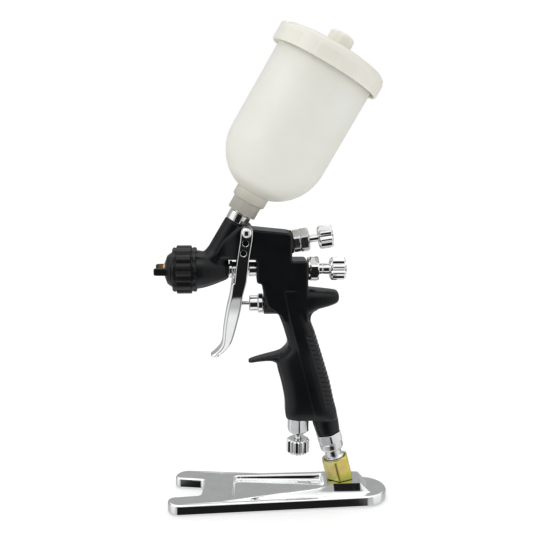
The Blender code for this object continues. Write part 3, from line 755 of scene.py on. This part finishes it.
# Wedge between the rails: x, half width, crest height, spread of its side
WEDGE = np.array([(-60, 22, 4, 1.5), (-28, 19.5, 7.2, 1.5), (28, 12.6, 11.6, 3.6),
                  (38, 10, 13.4, 5), (55.2, 9, 13.4, 4.4), (62.6, 7, 6, 3),
                  (66, 6, 0, 3)])
WEDGE_FOOT = 5.0
SIDE_STATIONS = (-28, 20, 40, 55, 62)
SIDE_RUN = (3, 2.6, 1.3, 1.1, 2)
EDGE_ZONE = 4.0
EDGE_SLOPE = 1.2
RECESS = [(-25.5, -15.8, 2.5), (32, -8.2, 2.5), (32, 8.2, 2.5), (-25.5, 15.8, 2.5)]
RECESS_SPAN = (-26, 33)
RECESS_RISE = 3.0
RECESS_WALL = 1.3


# Facets of the upper surface
RIM_INSETS = (0, 0.04, 0.14, 0.3, 0.5, 0.75, 1.05, 1.4, 1.9, 2.6)
TRAY_LINE_GAP = 0.3
RAIL_SPAN = (-30.0, 64.0)
RAIL_LINE_GAP = 0.45
LINE_STEP = 0.7
LINE_GAP = 0.28
GRID_STEP = 0.8
GRID_CELL = 1.1
GRID_MARGIN = 0.35


def stand_height(points, outline):
    """Height of the casting's upper surface over (x, y) points."""
    inwards = edge_distance(points, outline)
    lean = np.clip(SKIRT_ROUNDING - inwards, 0, SKIRT_ROUNDING)
    skirt = (SKIRT_HEIGHT - SKIRT_ROUNDING
             + np.sqrt(np.maximum(SKIRT_ROUNDING ** 2 - lean ** 2, 0)))
    x, y = points[:, 0], np.abs(points[:, 1])
    half = np.interp(x, WEDGE[:, 0], WEDGE[:, 1])
    crest = np.interp(x, WEDGE[:, 0], WEDGE[:, 2])
    run = np.interp(x, SIDE_STATIONS, SIDE_RUN)
    beyond = np.maximum(y - half + 0.4, 0)
    side = WEDGE_FOOT + (crest - WEDGE_FOOT) * np.exp(-beyond / run)
    wedge = -blend_max(-crest, -side - 0.5, 1)
    upper = blend_max(skirt, wedge, 1)
    sloped = np.where(inwards < EDGE_ZONE, skirt + EDGE_SLOPE * inwards, upper)
    upper = np.minimum(upper, sloped)
    tray = filleted(RECESS, 10)
    deep = edge_distance(points, tray) * np.where(inside(points, tray), 1, -1)
    floor = RECESS_FLOOR + np.interp(x, RECESS_SPAN, (0, RECESS_RISE))
    return upper + (floor - upper) * smooth(rise(deep, -0.5, RECESS_WALL))


def feature_points():
    """Points in lines along the tray's wall and the rails, so that facets follow them."""
    points = []
    for k in range(-3, 9):
        offset = TRAY_LINE_GAP * k
        tray = filleted([(x - offset * math.copysign(1, x), y - offset * math.copysign(1, y),
                          max(0.4, radius - offset)) for x, y, radius in RECESS], 6)
        ring = [Vector(p) for p in tray]
        for a, b in zip(ring, ring[1:] + ring[:1]):
            steps = max(1, int((b - a).length / LINE_STEP))
            points += [tuple(a.lerp(b, i / steps)) for i in range(steps)]
    for x in np.arange(*RAIL_SPAN, LINE_STEP):
        half = np.interp(x, WEDGE[:, 0], WEDGE[:, 1])
        spread = np.interp(x, WEDGE[:, 0], WEDGE[:, 3])
        for k in range(-5, 14):
            y = half + RAIL_LINE_GAP * k
            if k * RAIL_LINE_GAP < spread + 2.5:
                points += [(x, y), (x, -y)]
    return np.array(points)


def cells(points, width=GRID_CELL):
    return [(round(x / width), round(y / width)) for x, y in points]


def keep_apart(points, distance):
    """First point in each square cell as wide as the distance."""
    kept = {}
    for cell, point in zip(cells(points, distance), points):
        kept.setdefault(cell, point)
    return np.array(list(kept.values()))


def make_stand():
    outline = stand_outline()
    loops = [stand_outline(inset) for inset in RIM_INSETS]
    xs = np.arange(STAND_FRONT, STAND_REAR_CENTRE + STAND_REAR_RADIUS, GRID_STEP)
    ys = np.arange(-STAND_FRONT_HALF, STAND_FRONT_HALF, GRID_STEP)
    grid = np.array([(x + GRID_STEP / 2 * (j % 2), y) for j, y in enumerate(ys) for x in xs])
    lines = keep_apart(feature_points(), LINE_GAP)
    near = {(i + di, j + dj) for i, j in cells(lines) for di in (-1, 0, 1) for dj in (-1, 0, 1)}
    grid = np.array([point for point, cell in zip(grid, cells(grid)) if cell not in near])
    grid = np.concatenate([lines, grid])
    grid = grid[inside(grid, loops[-1]) & (edge_distance(grid, loops[-1]) > GRID_MARGIN)]
    inner = [Vector(p) for p in loops[-1]]
    count = len(inner)
    edges = [(i, (i + 1) % count) for i in range(count)]
    points = inner + [Vector(p) for p in grid]
    flat, _, faces, origins, _, _ = delaunay_2d_cdt(points, edges, [list(range(count))], 1, 1e-6)
    builder = bmesh.new()

    def at_surface(loop):
        levels = stand_height(np.array([tuple(p) for p in loop]), outline)
        return vertices(builder, [(p[0], p[1], z) for p, z in zip(loop, levels)])

    def at_height(loop, z):
        return vertices(builder, [(x, y, z) for x, y in loop])

    top = at_surface(flat)
    for face in faces:
        builder.faces.new([top[i] for i in face])
    order = {source: index for index, sources in enumerate(origins) for source in sources}
    chain = [[top[order[i]] for i in range(count)]]
    chain += [at_surface(loop) for loop in reversed(loops[:-1])]
    chain += [at_height(outline, z) for z in (2.5, 1.3)]
    for inset, z in ((0.12, 0.6), (0.45, 0.15), (0.9, 0), (WALL - 0.35, 0), (WALL, 0.35),
                     (WALL, POCKET_ROOF)):
        chain.append(at_height(stand_outline(inset), z))
    skin(builder, chain)
    roof = builder.faces.new(chain[-1])
    bmesh.ops.triangulate(builder, faces=[roof])
    aside = at(STAND_PIVOT_X, STAND_OFFSET, 0)
    place = aside @ spin(STAND_TURN, 'Z') @ at(-STAND_PIVOT_X, 0, 0)
    add("stand_casting", [(loose(builder), place)], "stand_chrome", "stand", "stand_base",
        sharp=60)


# --- Trigger

TRIGGER_ROWS = [
    (170, -20.8, -13, EAR_MID, 0.4, 0), (163.5, -21.8, -14.1, EAR_MID, 0.4, 0),
    (157.4, -22.8, -15.1, EAR_MID, 0.4, 0), (151.8, -23.7, -15.6, 11.3, 0.5, 0),
    (147.5, -24.3, -16.2, 10.7, 0.7, 0), (143, -24.9, -16.8, 10.1, 0.8, 0.1),
    (134.5, -26.2, -19, 9.2, 1, 1.5), (126.2, -28.2, -20.3, 8.5, 1.2, 2.6),
    (118, -29.7, -22.4, 8.2, 1.4, 2.8), (111, -30.6, -24.3, 7.8, 1.5, 2.6),
    (105, -31.2, -26.4, 7.2, 1.6, 2), (101, -33, -29, 6.4, 2, 1.3),
    (97.4, -36.4, -33, 5.8, 2.2, 0.8), (95.5, -38.8, -36.4, 5.4, 2, 0.6)]
WEB_TOP = 144.0
TRIGGER_HOLES = ((*PIVOT, 2.2), (-17.3, 167.4, 1.7), (-18.6, 161.4, 1.7))
CHAMFER = 0.3
LUG = [(-18.6, 148.2, 0.4), (-16.6, 148.2, 0.4), (-16.6, 151.4, 0.4), (-18.6, 151.4, 0.4)]
LUG_SPAN = (3.4, 10.6)


def trigger_line(front, rear, out, corner, twist=0):
    """Points (x, y) from the rear edge of a side round the corner to the middle."""
    line = [(rear + (front + corner - rear) * k / 8, out - twist * k / 8) for k in range(9)]
    out -= twist
    for k in range(1, 6):
        deep, aside = polar(corner, math.pi / 2 * k / 5, out - corner)
        line.append((front + corner - aside, deep))
    line += [(front, (out - corner) * (1 - k / 5)) for k in range(1, 6)]
    return line


def make_trigger():
    rows = []
    for angle in (86, 78, 70, 60, 50, 40, 30, 20, 10):
        reach, height = polar(EAR_RADIUS, math.radians(angle), 0, PIVOT[1])
        rows.append((height, PIVOT[0] - reach, PIVOT[0] + reach, EAR_MID, min(0.4, reach), 0))
    rows += between(TRIGGER_ROWS, 4)
    builder = bmesh.new()
    grid = [vertices(builder, [(x, y, row[0]) for x, y in trigger_line(*row[1:])])
            for row in rows]
    for upper, lower in zip(grid, grid[1:]):
        has_web = upper[0].co.z < WEB_TOP * MM
        for i in range(len(upper) - 1 if has_web else 8):
            builder.faces.new((upper[i], upper[i + 1], lower[i + 1], lower[i]))
    unused = [vertex for vertex in builder.verts if not vertex.link_faces]
    bmesh.ops.delete(builder, geom=unused, context='VERTS')
    trigger = piece("trigger_lever", [(loose(builder), UPRIGHT)])
    mirror = trigger.modifiers.new("both", 'MIRROR')
    mirror.use_axis = (False, True, False)
    mirror.merge_threshold = 1e-5
    shell = trigger.modifiers.new("plate", 'SOLIDIFY')
    shell.thickness = PLATE * MM
    shell.offset = 0
    rolled = trigger.modifiers.new("rolled", 'SUBSURF')
    rolled.levels = 2
    applied(trigger)
    near, far = LUG_SPAN
    combine(trigger, [(prism(filleted(LUG, 3), high, low, CHAMFER), SIDEWAYS)
                      for high, low in ((far, near), (-near, -far))], 'UNION')
    holes = []
    for x, z, radius in TRIGGER_HOLES:
        place = at(x, 0, z) @ SIDEWAYS
        wide = radius + 1 + CHAMFER
        for side in (-1, 1):
            low, high = side * EAR_MID - PLATE / 2, side * EAR_MID + PLATE / 2
            holes.append((turned([
                (0, high + 1), (wide, high + 1), (radius, high - CHAMFER),
                (radius, low + CHAMFER), (wide, low - 1), (0, low - 1)], 32, ease=0.1), place))
    combine(trigger, holes, 'DIFFERENCE')
    settle(trigger, "chrome", 36, "trigger", "trigger")


# --- Turned pieces

HORN_ROWS = [(-60.8, 9.7, 6.4, 2.3), (-66, 9.5, 6.2, 2.3), (-71, 9.2, 6.5, 2.25),
             (-72.2, 9, 6.8, 2), (-72.6, 8.6, 7.2, 1.5)]
CHEEK_ROWS = [(-62, 2.1), (-66.2, 2.1), (-70.8, 2.05), (-71.8, 1.7)]
CHEEK_SPAN = (5.95, 6.34)
HORN_JETS = (-69.4, -71.2)
JET_LEAN = 25
JET_RADIUS = 0.42
FACE_JET_RADIUS = 0.4
FACE_JET_CIRCLE = 3.4


def make_head():
    ring = turned([
        (11, -46.9), (13.2, -46.9), (13.8, -47.6), (13.8, -48.8), (13.3, -49.2),
        (13.3, -49.6), (14.9, -50.2), (14.9, -58.8), (13.3, -59.4), (13.3, -59.8),
        (13.8, -60.1), (13.6, -61), (13, -61.6), (10.9, -61.6), (10.9, -60.2),
        (12.9, -60.2), (12.9, -47.2), (11, -47.2)], 196, fluted(14, 1.1, 13.3, 3),
        ease=0.25)
    add("ring_grip", [(ring, NEEDLE)], "black_plastic", "cap_ring", "air_cap_ring")
    face = turned([
        (8.8, -56.2), (12.5, -56.2), (12.5, -59.9), (10.5, -59.9), (10.4, -62.6), (8.6, -64.9),
        (4.6, -66.4), (1.9, -66.6), (1.9, -65.4), (4.2, -64.8), (8.4, -61.8)], 96,
        ease=0.35)
    cap = piece("cap_front", [(face, NEEDLE)])
    horns = []
    for side in (-1, 1):
        rings = []
        for x, outer, inner, wide in between(HORN_ROWS, 2):
            ring = [((outer + inner) / 2 + a, d)
                    for a, d in section((outer - inner) / 2, wide, 5, 32)]
            rings.append([(x, side * y, NEEDLE_Z + z) for y, z in ring])
        horns.append((loft(rings), UPRIGHT))
    combine(cap, horns, 'UNION')
    jets = []
    for side in (-1, 1):
        for x in HORN_JETS:
            place = at(x, side * 6.2, NEEDLE_Z) @ spin(90 + side * JET_LEAN, 'X')
            jets.append((rod(JET_RADIUS, 2.2, -2.2, 16), place))
    for angle in (0, 90, 180, 270):
        place = at(-66, 0, NEEDLE_Z) @ spin(angle, 'X') @ at(0, 0, FACE_JET_CIRCLE)
        jets.append((rod(FACE_JET_RADIUS, 2, -2, 12), place @ spin(90, 'Y')))
    combine(cap, jets, 'DIFFERENCE')
    settle(cap, "black_anodised", 40, "cap", "air_cap")
    cheeks = []
    low, high = CHEEK_SPAN
    for side in (-1, 1):
        rings = [[(x, side * y, NEEDLE_Z + z) for y, z in
                  ((high, wide), (low, wide), (low, -wide), (high, -wide))]
                 for x, wide in CHEEK_ROWS]
        cheeks.append((loft(rings), UPRIGHT))
    bushing = turned([(2.2, -66), (3.9, -66.3), (3.9, -66.95), (3.5, -67.15), (2.2, -67.15)],
                     48, ease=0.15)
    add("cap_brass", cheeks + [(bushing, NEEDLE)], "brass", "cap")


def add_spring(name, place, radius, wire, low, high, turns, node):
    """Coil from low to high along the axis."""
    rings = []
    per_turn = 28
    for i in range(turns * per_turn + 1):
        angle = 2 * math.pi * i / per_turn
        height = low + wire + (high - low - 2 * wire) * i / (turns * per_turn)
        ring = []
        for k in range(10):
            reach, z = polar(wire, 2 * math.pi * k / 10, radius, height)
            ring.append((*polar(reach, angle), z))
        rings.append(ring)
    spring = add(name, [(loft(rings), place)], "spring_steel", "gun", node)
    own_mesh(spring)


def make_needle_line():
    nut = turned([
        (1.3, -19), (4.3, -19), (4.7, -19.4), (4.7, -21), (4.2, -21.3), (4.2, -21.7),
        (4.7, -22), (4.7, -25.2), (5.4, -25.5), (5.4, -27), (3.3, -27.1), (3.3, -30.1),
        (1.3, -30.1)], 64, ease=0.2)
    add("packing_nut_turned", [(nut, NEEDLE)], "chrome", "gun", "packing_nut")
    collar = turned([
        (1.25, -3.8), (4, -3.8), (4.5, -4.3), (4.5, -9.2), (4.15, -9.5), (4.15, -9.9),
        (4.5, -10.2), (4.5, -14.9), (4.1, -15.3), (1.25, -15.3)], 64, ease=0.2)
    add("collar_turned", [(collar, NEEDLE)], "chrome", "needle", "needle_collar")
    add_spring("needle_coil", NEEDLE, 3.1, 0.4, -3.5, 11.6, 8,
               "needle_spring")
    bush = turned_hexagon([
        (3.9, 14), (4.6, 14), (4.6, 20.9), (6.8, 20.9), (7.1, 21.2), (7.1, 22),
        (7.4, 22.3), (8.2, 22.9), (8.2, 26.6), (7.3, 27.6), (4.2, 27.6), (3.9, 27.3)], 14.2, 12)
    add("needle_bush_hex", [(bush, NEEDLE)], "chrome", "gun", "needle_bush")
    knob = turned([
        (0, 44.4), (5.6, 44.4), (6.4, 44.1), (KNOB_RADIUS, 43.2), (KNOB_RADIUS, 36),
        (6.6, 35.2), (5.6, 34.6), (3.45, 34.2), (3.45, 30.6), (3.2, 30.4), (3.2, 29.9),
        (3.45, 29.7), (3.45, 11.9), (1.3, 11.9), (1.3, 18), (0, 18)], 144,
        fluted(10, 1.2, 6, 1.2), ease=0.3)
    add("fluid_grip", [(knob, NEEDLE)], "chrome", "fluid_control", "fluid_knob")


def make_screw_control(name, place, bush, flats, turn, stem, grip, lobes, body):
    radius, end, top = stem
    add(f"{name}_bush_hex", [(turned_hexagon(bush, flats, turn), place)], "satin_steel", "gun",
        f"{name}_bush")
    spindle = turned([(0, top), (radius, top), (radius, end + 3), (0.6, end), (0, end)], 48)
    add(f"{name}_spindle", [(spindle, place)], "chrome", body, f"{name}_stem")
    high, low = grip
    knob = turned([
        (0, high), (5.7, high), (6.5, high - 0.3), (KNOB_RADIUS, high - 1.1),
        (KNOB_RADIUS, low + 1.1), (6.5, low + 0.3), (5.7, low), (radius + GAP + 0.3, low),
        (radius + GAP, low + 0.3), (radius + GAP, high - 2), (0, high - 2)], 144,
        fluted(lobes, 1.2, 6, 1.2), ease=0.3)
    add(f"{name}_grip", [(knob, place)], "chrome", body, f"{name}_knob")


def make_controls():
    make_screw_control("pattern", PATTERN, [
        (2.7, 11), (5.9, 11), (6.6, 10.6), (7.6, 9.9), (7.6, 6), (7.2, 5.6), (6.6, 5.4),
        (6.6, 5.1), (7.2, 4.8), (7.2, 1.3), (4, 1.3), (4, -12), (2.7, -12)], 13.2, 10,
        (2.4, -16, 17.6), (25.6, 16.6), 9, "pattern_control")
    make_screw_control("airflow", AIRFLOW, [
        (2.5, 11.4), (3.6, 11.4), (3.9, 11.1), (3.9, 9.6), (5.8, 9.5), (7.1, 8.5), (7.1, 1),
        (6.6, GAP), (4, GAP), (4, -12), (2.5, -12)], 12.4, 25,
        (2.2, -10, 21.5), (23.7, 14.2), 16, "airflow_control")
    gland = turned([
        (1.5, -1.5), (3.9, -1.5), (3.9, -6.7), (5.8, -6.7), (6.05, -6.95), (6.05, -9.3),
        (5.8, -9.6), (4.85, -9.9), (4.85, -14.6), (4.4, -15), (1.5, -15)],
        64, ease=0.2)
    add("gland_turned", [(gland, VALVE)], "chrome", "gun", "air_valve_gland")
    pin = turned([(0, 5.4), (3.2, 5.4), (3.2, 3.4), (1.2, 2.2), (1.2, -25.4), (0.8, -26),
                  (0, -26)], 48, ease=0.15)
    add("valve_pin", [(pin, VALVE)], "satin_steel", "air_valve", "air_valve_stem")
    add_spring("valve_coil", VALVE, 2.9, 0.35, 5.75, 15.6, 5,
               "air_valve_spring")
    outer = EAR_MID + PLATE / 2 + GAP
    stud = turned([(0, outer + 1.5), (0.9, outer + 1.42), (1.7, outer + 1.2), (2.4, outer + 0.85),
                   (2.9, outer + 0.4), (3.1, outer), (1.9, outer), (1.9, -outer + 0.5),
                   (0, -outer + 0.5)], 48, ease=0.15)
    add("pivot_stud", [(stud, PIVOT_AXIS)], "chrome", "gun", "trigger_stud")
    screw = piece("pivot_screw", [(turned([
        (0, -outer), (3.1, -outer), (2.9, -outer - 0.4), (2.4, -outer - 0.85),
        (1.7, -outer - 1.2), (0, -outer - 1.5)], 48, ease=0.15), PIVOT_AXIS)])
    slot_cut = prism([(-4, -0.4), (4, -0.4), (4, 0.4), (-4, 0.4)], -outer - 0.8, -outer - 4)
    combine(screw, [(slot_cut, PIVOT_AXIS)], 'DIFFERENCE')
    settle(screw, "chrome", SHARP, "gun", "trigger_screw")


# --- Cup and lid

def bowl_arc(radius, first, last, steps=28):
    points = []
    for k in range(steps + 1):
        angle = math.radians(first + (last - first) * k / steps)
        points.append(polar(radius, angle, 0, BOWL_CENTRE))
    return points


def make_cup():
    adaptor = turned([
        (2.9, 13.6), (5.4, 13.6), (5.4, 1), (6.7, 1), (6.9, 0.8), (6.9, -4.6), (4.7, -4.6),
        (4.7, -15.5), (2.9, -15.5)], 72, ease=0.2)
    add("adaptor_chrome", [(adaptor, CUP)], "chrome", "gun", "cup_adaptor")
    inner = CUP_RADIUS - CUP_WALL
    profile = ([(CUP_RADIUS + 0.1, CUP_RIM)] + bowl_arc(CUP_RADIUS, 0, -70.2)
               + [(10.5, 15.2), (10.5, 10.4), (9.9, 9.8), (9.3, 9.4), (9.3, 2.2), (8.9, 1.7),
                  (5.8, 1.7), (5.8, 14.6)] + bowl_arc(inner, -78.5, 0)
               + [(inner + 0.1, CUP_RIM)])

    hexagon = hexed(17.4, 20)

    def waist(angle, r, z):
        return hexagon(angle, r, z) if 7 <= r <= 9.4 and z <= 9.5 else r

    cup = turned(profile, 126, waist, ease=0.4)
    add("cup_bowl", [(cup, CUP)], "cup_white", "cup", "cup_body", sharp=40)

    def ribbed(angle, r, z):
        if r < LID_RADIUS - 1.5:
            return r
        off = abs((math.degrees(angle) + LID_RIB_TURN + LID_RIB_STEP / 2) % LID_RIB_STEP
                  - LID_RIB_STEP / 2)
        return r + LID_RIB * max(0, min(1, 1.6 - off))

    rim = LID_RADIUS - LID_RIB
    lid = piece("lid_cap", [(turned([
        (3.2, LID_TOP + 1.5), (18, LID_TOP + 1.3), (27.5, LID_TOP + 0.8), (31.8, LID_TOP - 0.2),
        (34, LID_TOP - 2), (rim, LID_TOP - 4.4), (rim, LID_EDGE + 0.6),
        (rim - 0.3, LID_EDGE), (33.4, LID_EDGE), (33.4, LID_TOP - 3.4), (31, LID_TOP - 2),
        (20, LID_TOP - 1), (3.2, LID_TOP - 0.6)], 480, ribbed, ease=0.5), CUP)])
    arc = [math.radians(180 + turn) for turn in range(-26, 27, 4)]
    ledge = filleted([(*polar(r, a), 1.2 if abs(a - math.pi) > 0.44 else 0)
                      for r, line in ((rim + 0.05, arc), (29.8, arc[::-1])) for a in line], 4)
    combine(lid, [(prism(ledge, LID_TOP - 1.3, LID_EDGE + 0.8, 0.7), CUP)], 'UNION')
    settle(lid, "lid_white", 40, "lid", "cup_lid")
    knob = turned([
        (0, LID_TOP + 10.6), (5.8, LID_TOP + 10.6), (7.1, LID_TOP + 10.2), (7.8, LID_TOP + 9),
        (8, LID_TOP + 2.8), (7.6, LID_TOP + 2.2), (2.8, LID_TOP + 2), (2.8, LID_TOP - 4),
        (0, LID_TOP - 4)], 96, fluted(8, 0.6, 7, 1), ease=0.4)
    add("vent_cap", [(knob, CUP)], "lid_white", "vent", "vent_knob", sharp=40)


def make_inlet():
    nipple = turned_hexagon([
        (3.4, 7.5), (5, 7.5), (5, 1.6), (7.9, 1.6), (8.4, 1.2), (8.4, -3.7),
        (7.9, -4.3), (7, -4.5), (7.2, -4.8), (7.6, -5.1), (7.6, -8), (6.9, -9.2),
        (5.4, -9.9), (5.4, -13.6), (6.3, -14.2), (THREAD_RADIUS, -14.4)]
        + [point for k in range(5) for point in (
            (THREAD_RADIUS, -14.8 - THREAD_PITCH * k), (5.9, -15.6 - THREAD_PITCH * k))]
        + [(5.6, -23.4), (3.4, -23.4)], 14.6, 36, 0.2)
    add("inlet_nipple_turned", [(nipple, INLET)], "satin_steel", "gun", "air_inlet_nipple")
    nut = piece("nut_yellow", [(turned_hexagon([
        (THREAD_RADIUS + GAP, -15.4), (7.6, -15.4), (8.4, -15.7), (9.3, -16.4), (9.3, -40),
        (THREAD_RADIUS + GAP, -40)], 16, 26, 0.2), INLET)])
    saddle = prism([(0, -20), (80, -20), (80, 20), (0, 20)], SADDLE_Z + GAP, -40)
    combine(nut, [(saddle, UPRIGHT)], 'DIFFERENCE')
    settle(nut, "zinc_yellow", SHARP, "stand", "coupling_nut")


make_casting()
make_stand()
make_trigger()
make_head()
make_needle_line()
make_controls()
make_cup()
make_inlet()

NODE_LOOKS = {
    "fluid_tip": "satin_steel", "air_baffle": "brass", "needle_packing": "seal_white",
    "fluid_needle": "satin_steel", "cup_filter": "seal_white", "lid_seal": "seal_white"}
for node, look in NODE_LOOKS.items():
    for material_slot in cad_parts[node].material_slots:
        material_slot.material = LOOKS[look]


# --- Floor, light, camera

FLOOR_DROP = 0.05
FLOOR_HALF = 3000.0
STUDIO_STRENGTH = 1.15
CAMERA_LENS = 54.03
CAMERA_TURN = math.radians(2.5)
CAMERA_RISE = math.radians(10)
CAMERA_AIM = (-4.3, 0, 151.3)
CAMERA_DISTANCE = 491.2
LIGHT_AIM = Vector((0, 0, 0.15))


def make_floor():
    builder = bmesh.new()
    bmesh.ops.create_grid(builder, x_segments=8, y_segments=8, size=FLOOR_HALF * MM)
    floor = bpy.data.objects.new("floor", loose(builder))
    floor.location.z = -FLOOR_DROP * MM
    look = Look("pale_floor", 0, 0.9)
    look.colour(look.clouds(0.01, 2, (0.9, 0.9, 0.9), (0.93, 0.93, 0.93)))
    look.set(Emission_Color=(1, 1, 1, 1), Emission_Strength=0.12)
    floor.data.materials.append(look.material)
    floor.visible_glossy = False
    bpy.context.scene.collection.objects.link(floor)


def make_world():
    """White studio whose mirror image has a dark side round the camera."""
    world = bpy.data.worlds.new("studio")
    bpy.context.scene.world = world
    graph = Graph(world)
    nodes, links = graph.nodes, graph.links
    plain = nodes["Background"]
    fill(plain, {"Color": (1, 1, 1, 1), "Strength": 1})
    split = nodes.new("ShaderNodeSeparateXYZ")
    links.new(nodes.new("ShaderNodeTexCoord").outputs["Generated"], split.inputs[0])

    def curve(part, stops):
        """Grey along one part of the direction, which runs from -1 to 1."""
        unit = graph.span(split.outputs[part], 0, 1, -1, 1)
        return graph.ramp(unit, [((position + 1) / 2, (tone,) * 3) for position, tone in stops])

    front = curve("Z", [
        (-1, 0.85), (-0.8, 0.8), (-0.7, 0.012), (0.3, 0.01), (0.42, 0.75), (0.8, 1), (0.92, 1.3)])
    flank = curve("Z", [
        (-1, 0.85), (-0.7, 0.55), (-0.4, 0.5), (-0.1, 0.42), (0.3, 0.4), (0.5, 0.95), (0.8, 1),
        (0.92, 1.3)])
    wing = curve("Z", [(-1, 0.85), (-0.6, 0.6), (-0.35, 0.85), (0.8, 1), (0.92, 1.3)])
    back = curve("Z", [
        (-1, 0.75), (-0.3, 0.45), (0.1, 0.36), (0.5, 0.38), (0.62, 0.95), (0.8, 1), (0.92, 1.3)])
    centre = curve("X", [(-1, 1), (-0.5, 1), (-0.43, 0), (0.3, 0), (0.4, 1), (1, 1)])
    outer = curve("X", [(-1, 1), (-0.72, 1), (-0.62, 0), (0.62, 0), (0.72, 1), (1, 1)])
    behind = curve("Y", [(-1, 0), (0, 0), (0.25, 1), (1, 1)])
    facing = graph.mix(centre, front, graph.mix(outer, flank, wing))
    studio = graph.mix(behind, facing, back)
    lit = graph.node("ShaderNodeBackground", Strength=STUDIO_STRENGTH)
    links.new(studio, lit.inputs["Color"])
    path = nodes.new("ShaderNodeLightPath")
    choose = nodes.new("ShaderNodeMixShader")
    links.new(path.outputs["Is Glossy Ray"], choose.inputs["Fac"])
    links.new(plain.outputs[0], choose.inputs[1])
    links.new(lit.outputs[0], choose.inputs[2])
    links.new(choose.outputs[0], nodes["World Output"].inputs["Surface"])


def square_light(name, location, side, power):
    data = bpy.data.lights.new(name, 'AREA')
    data.shape = 'SQUARE'
    data.size = side
    data.energy = power
    light = bpy.data.objects.new(name, data)
    light.location = location
    away = Vector(location) - LIGHT_AIM
    light.rotation_euler = away.to_track_quat('Z', 'Y').to_euler()
    bpy.context.scene.collection.objects.link(light)


def make_camera():
    data = bpy.data.cameras.new("camera")
    data.sensor_width = 36
    data.lens = CAMERA_LENS
    data.clip_start = 0.01
    camera = bpy.data.objects.new("camera", data)
    level = -math.cos(CAMERA_RISE)
    back = Vector((level * math.sin(CAMERA_TURN), level * math.cos(CAMERA_TURN),
                   math.sin(CAMERA_RISE)))
    camera.location = (Vector(CAMERA_AIM) + back * CAMERA_DISTANCE) * MM
    camera.rotation_euler = back.to_track_quat('Z', 'Y').to_euler()
    bpy.context.scene.collection.objects.link(camera)
    bpy.context.scene.camera = camera


make_floor()
make_world()
square_light("key", (-0.6, -0.4, 0.8), 0.5, 0.9)
square_light("top", (0.1, 0.1, 1), 0.6, 0.7)
make_camera()
bpy.context.scene.view_settings.view_transform = 'Standard'
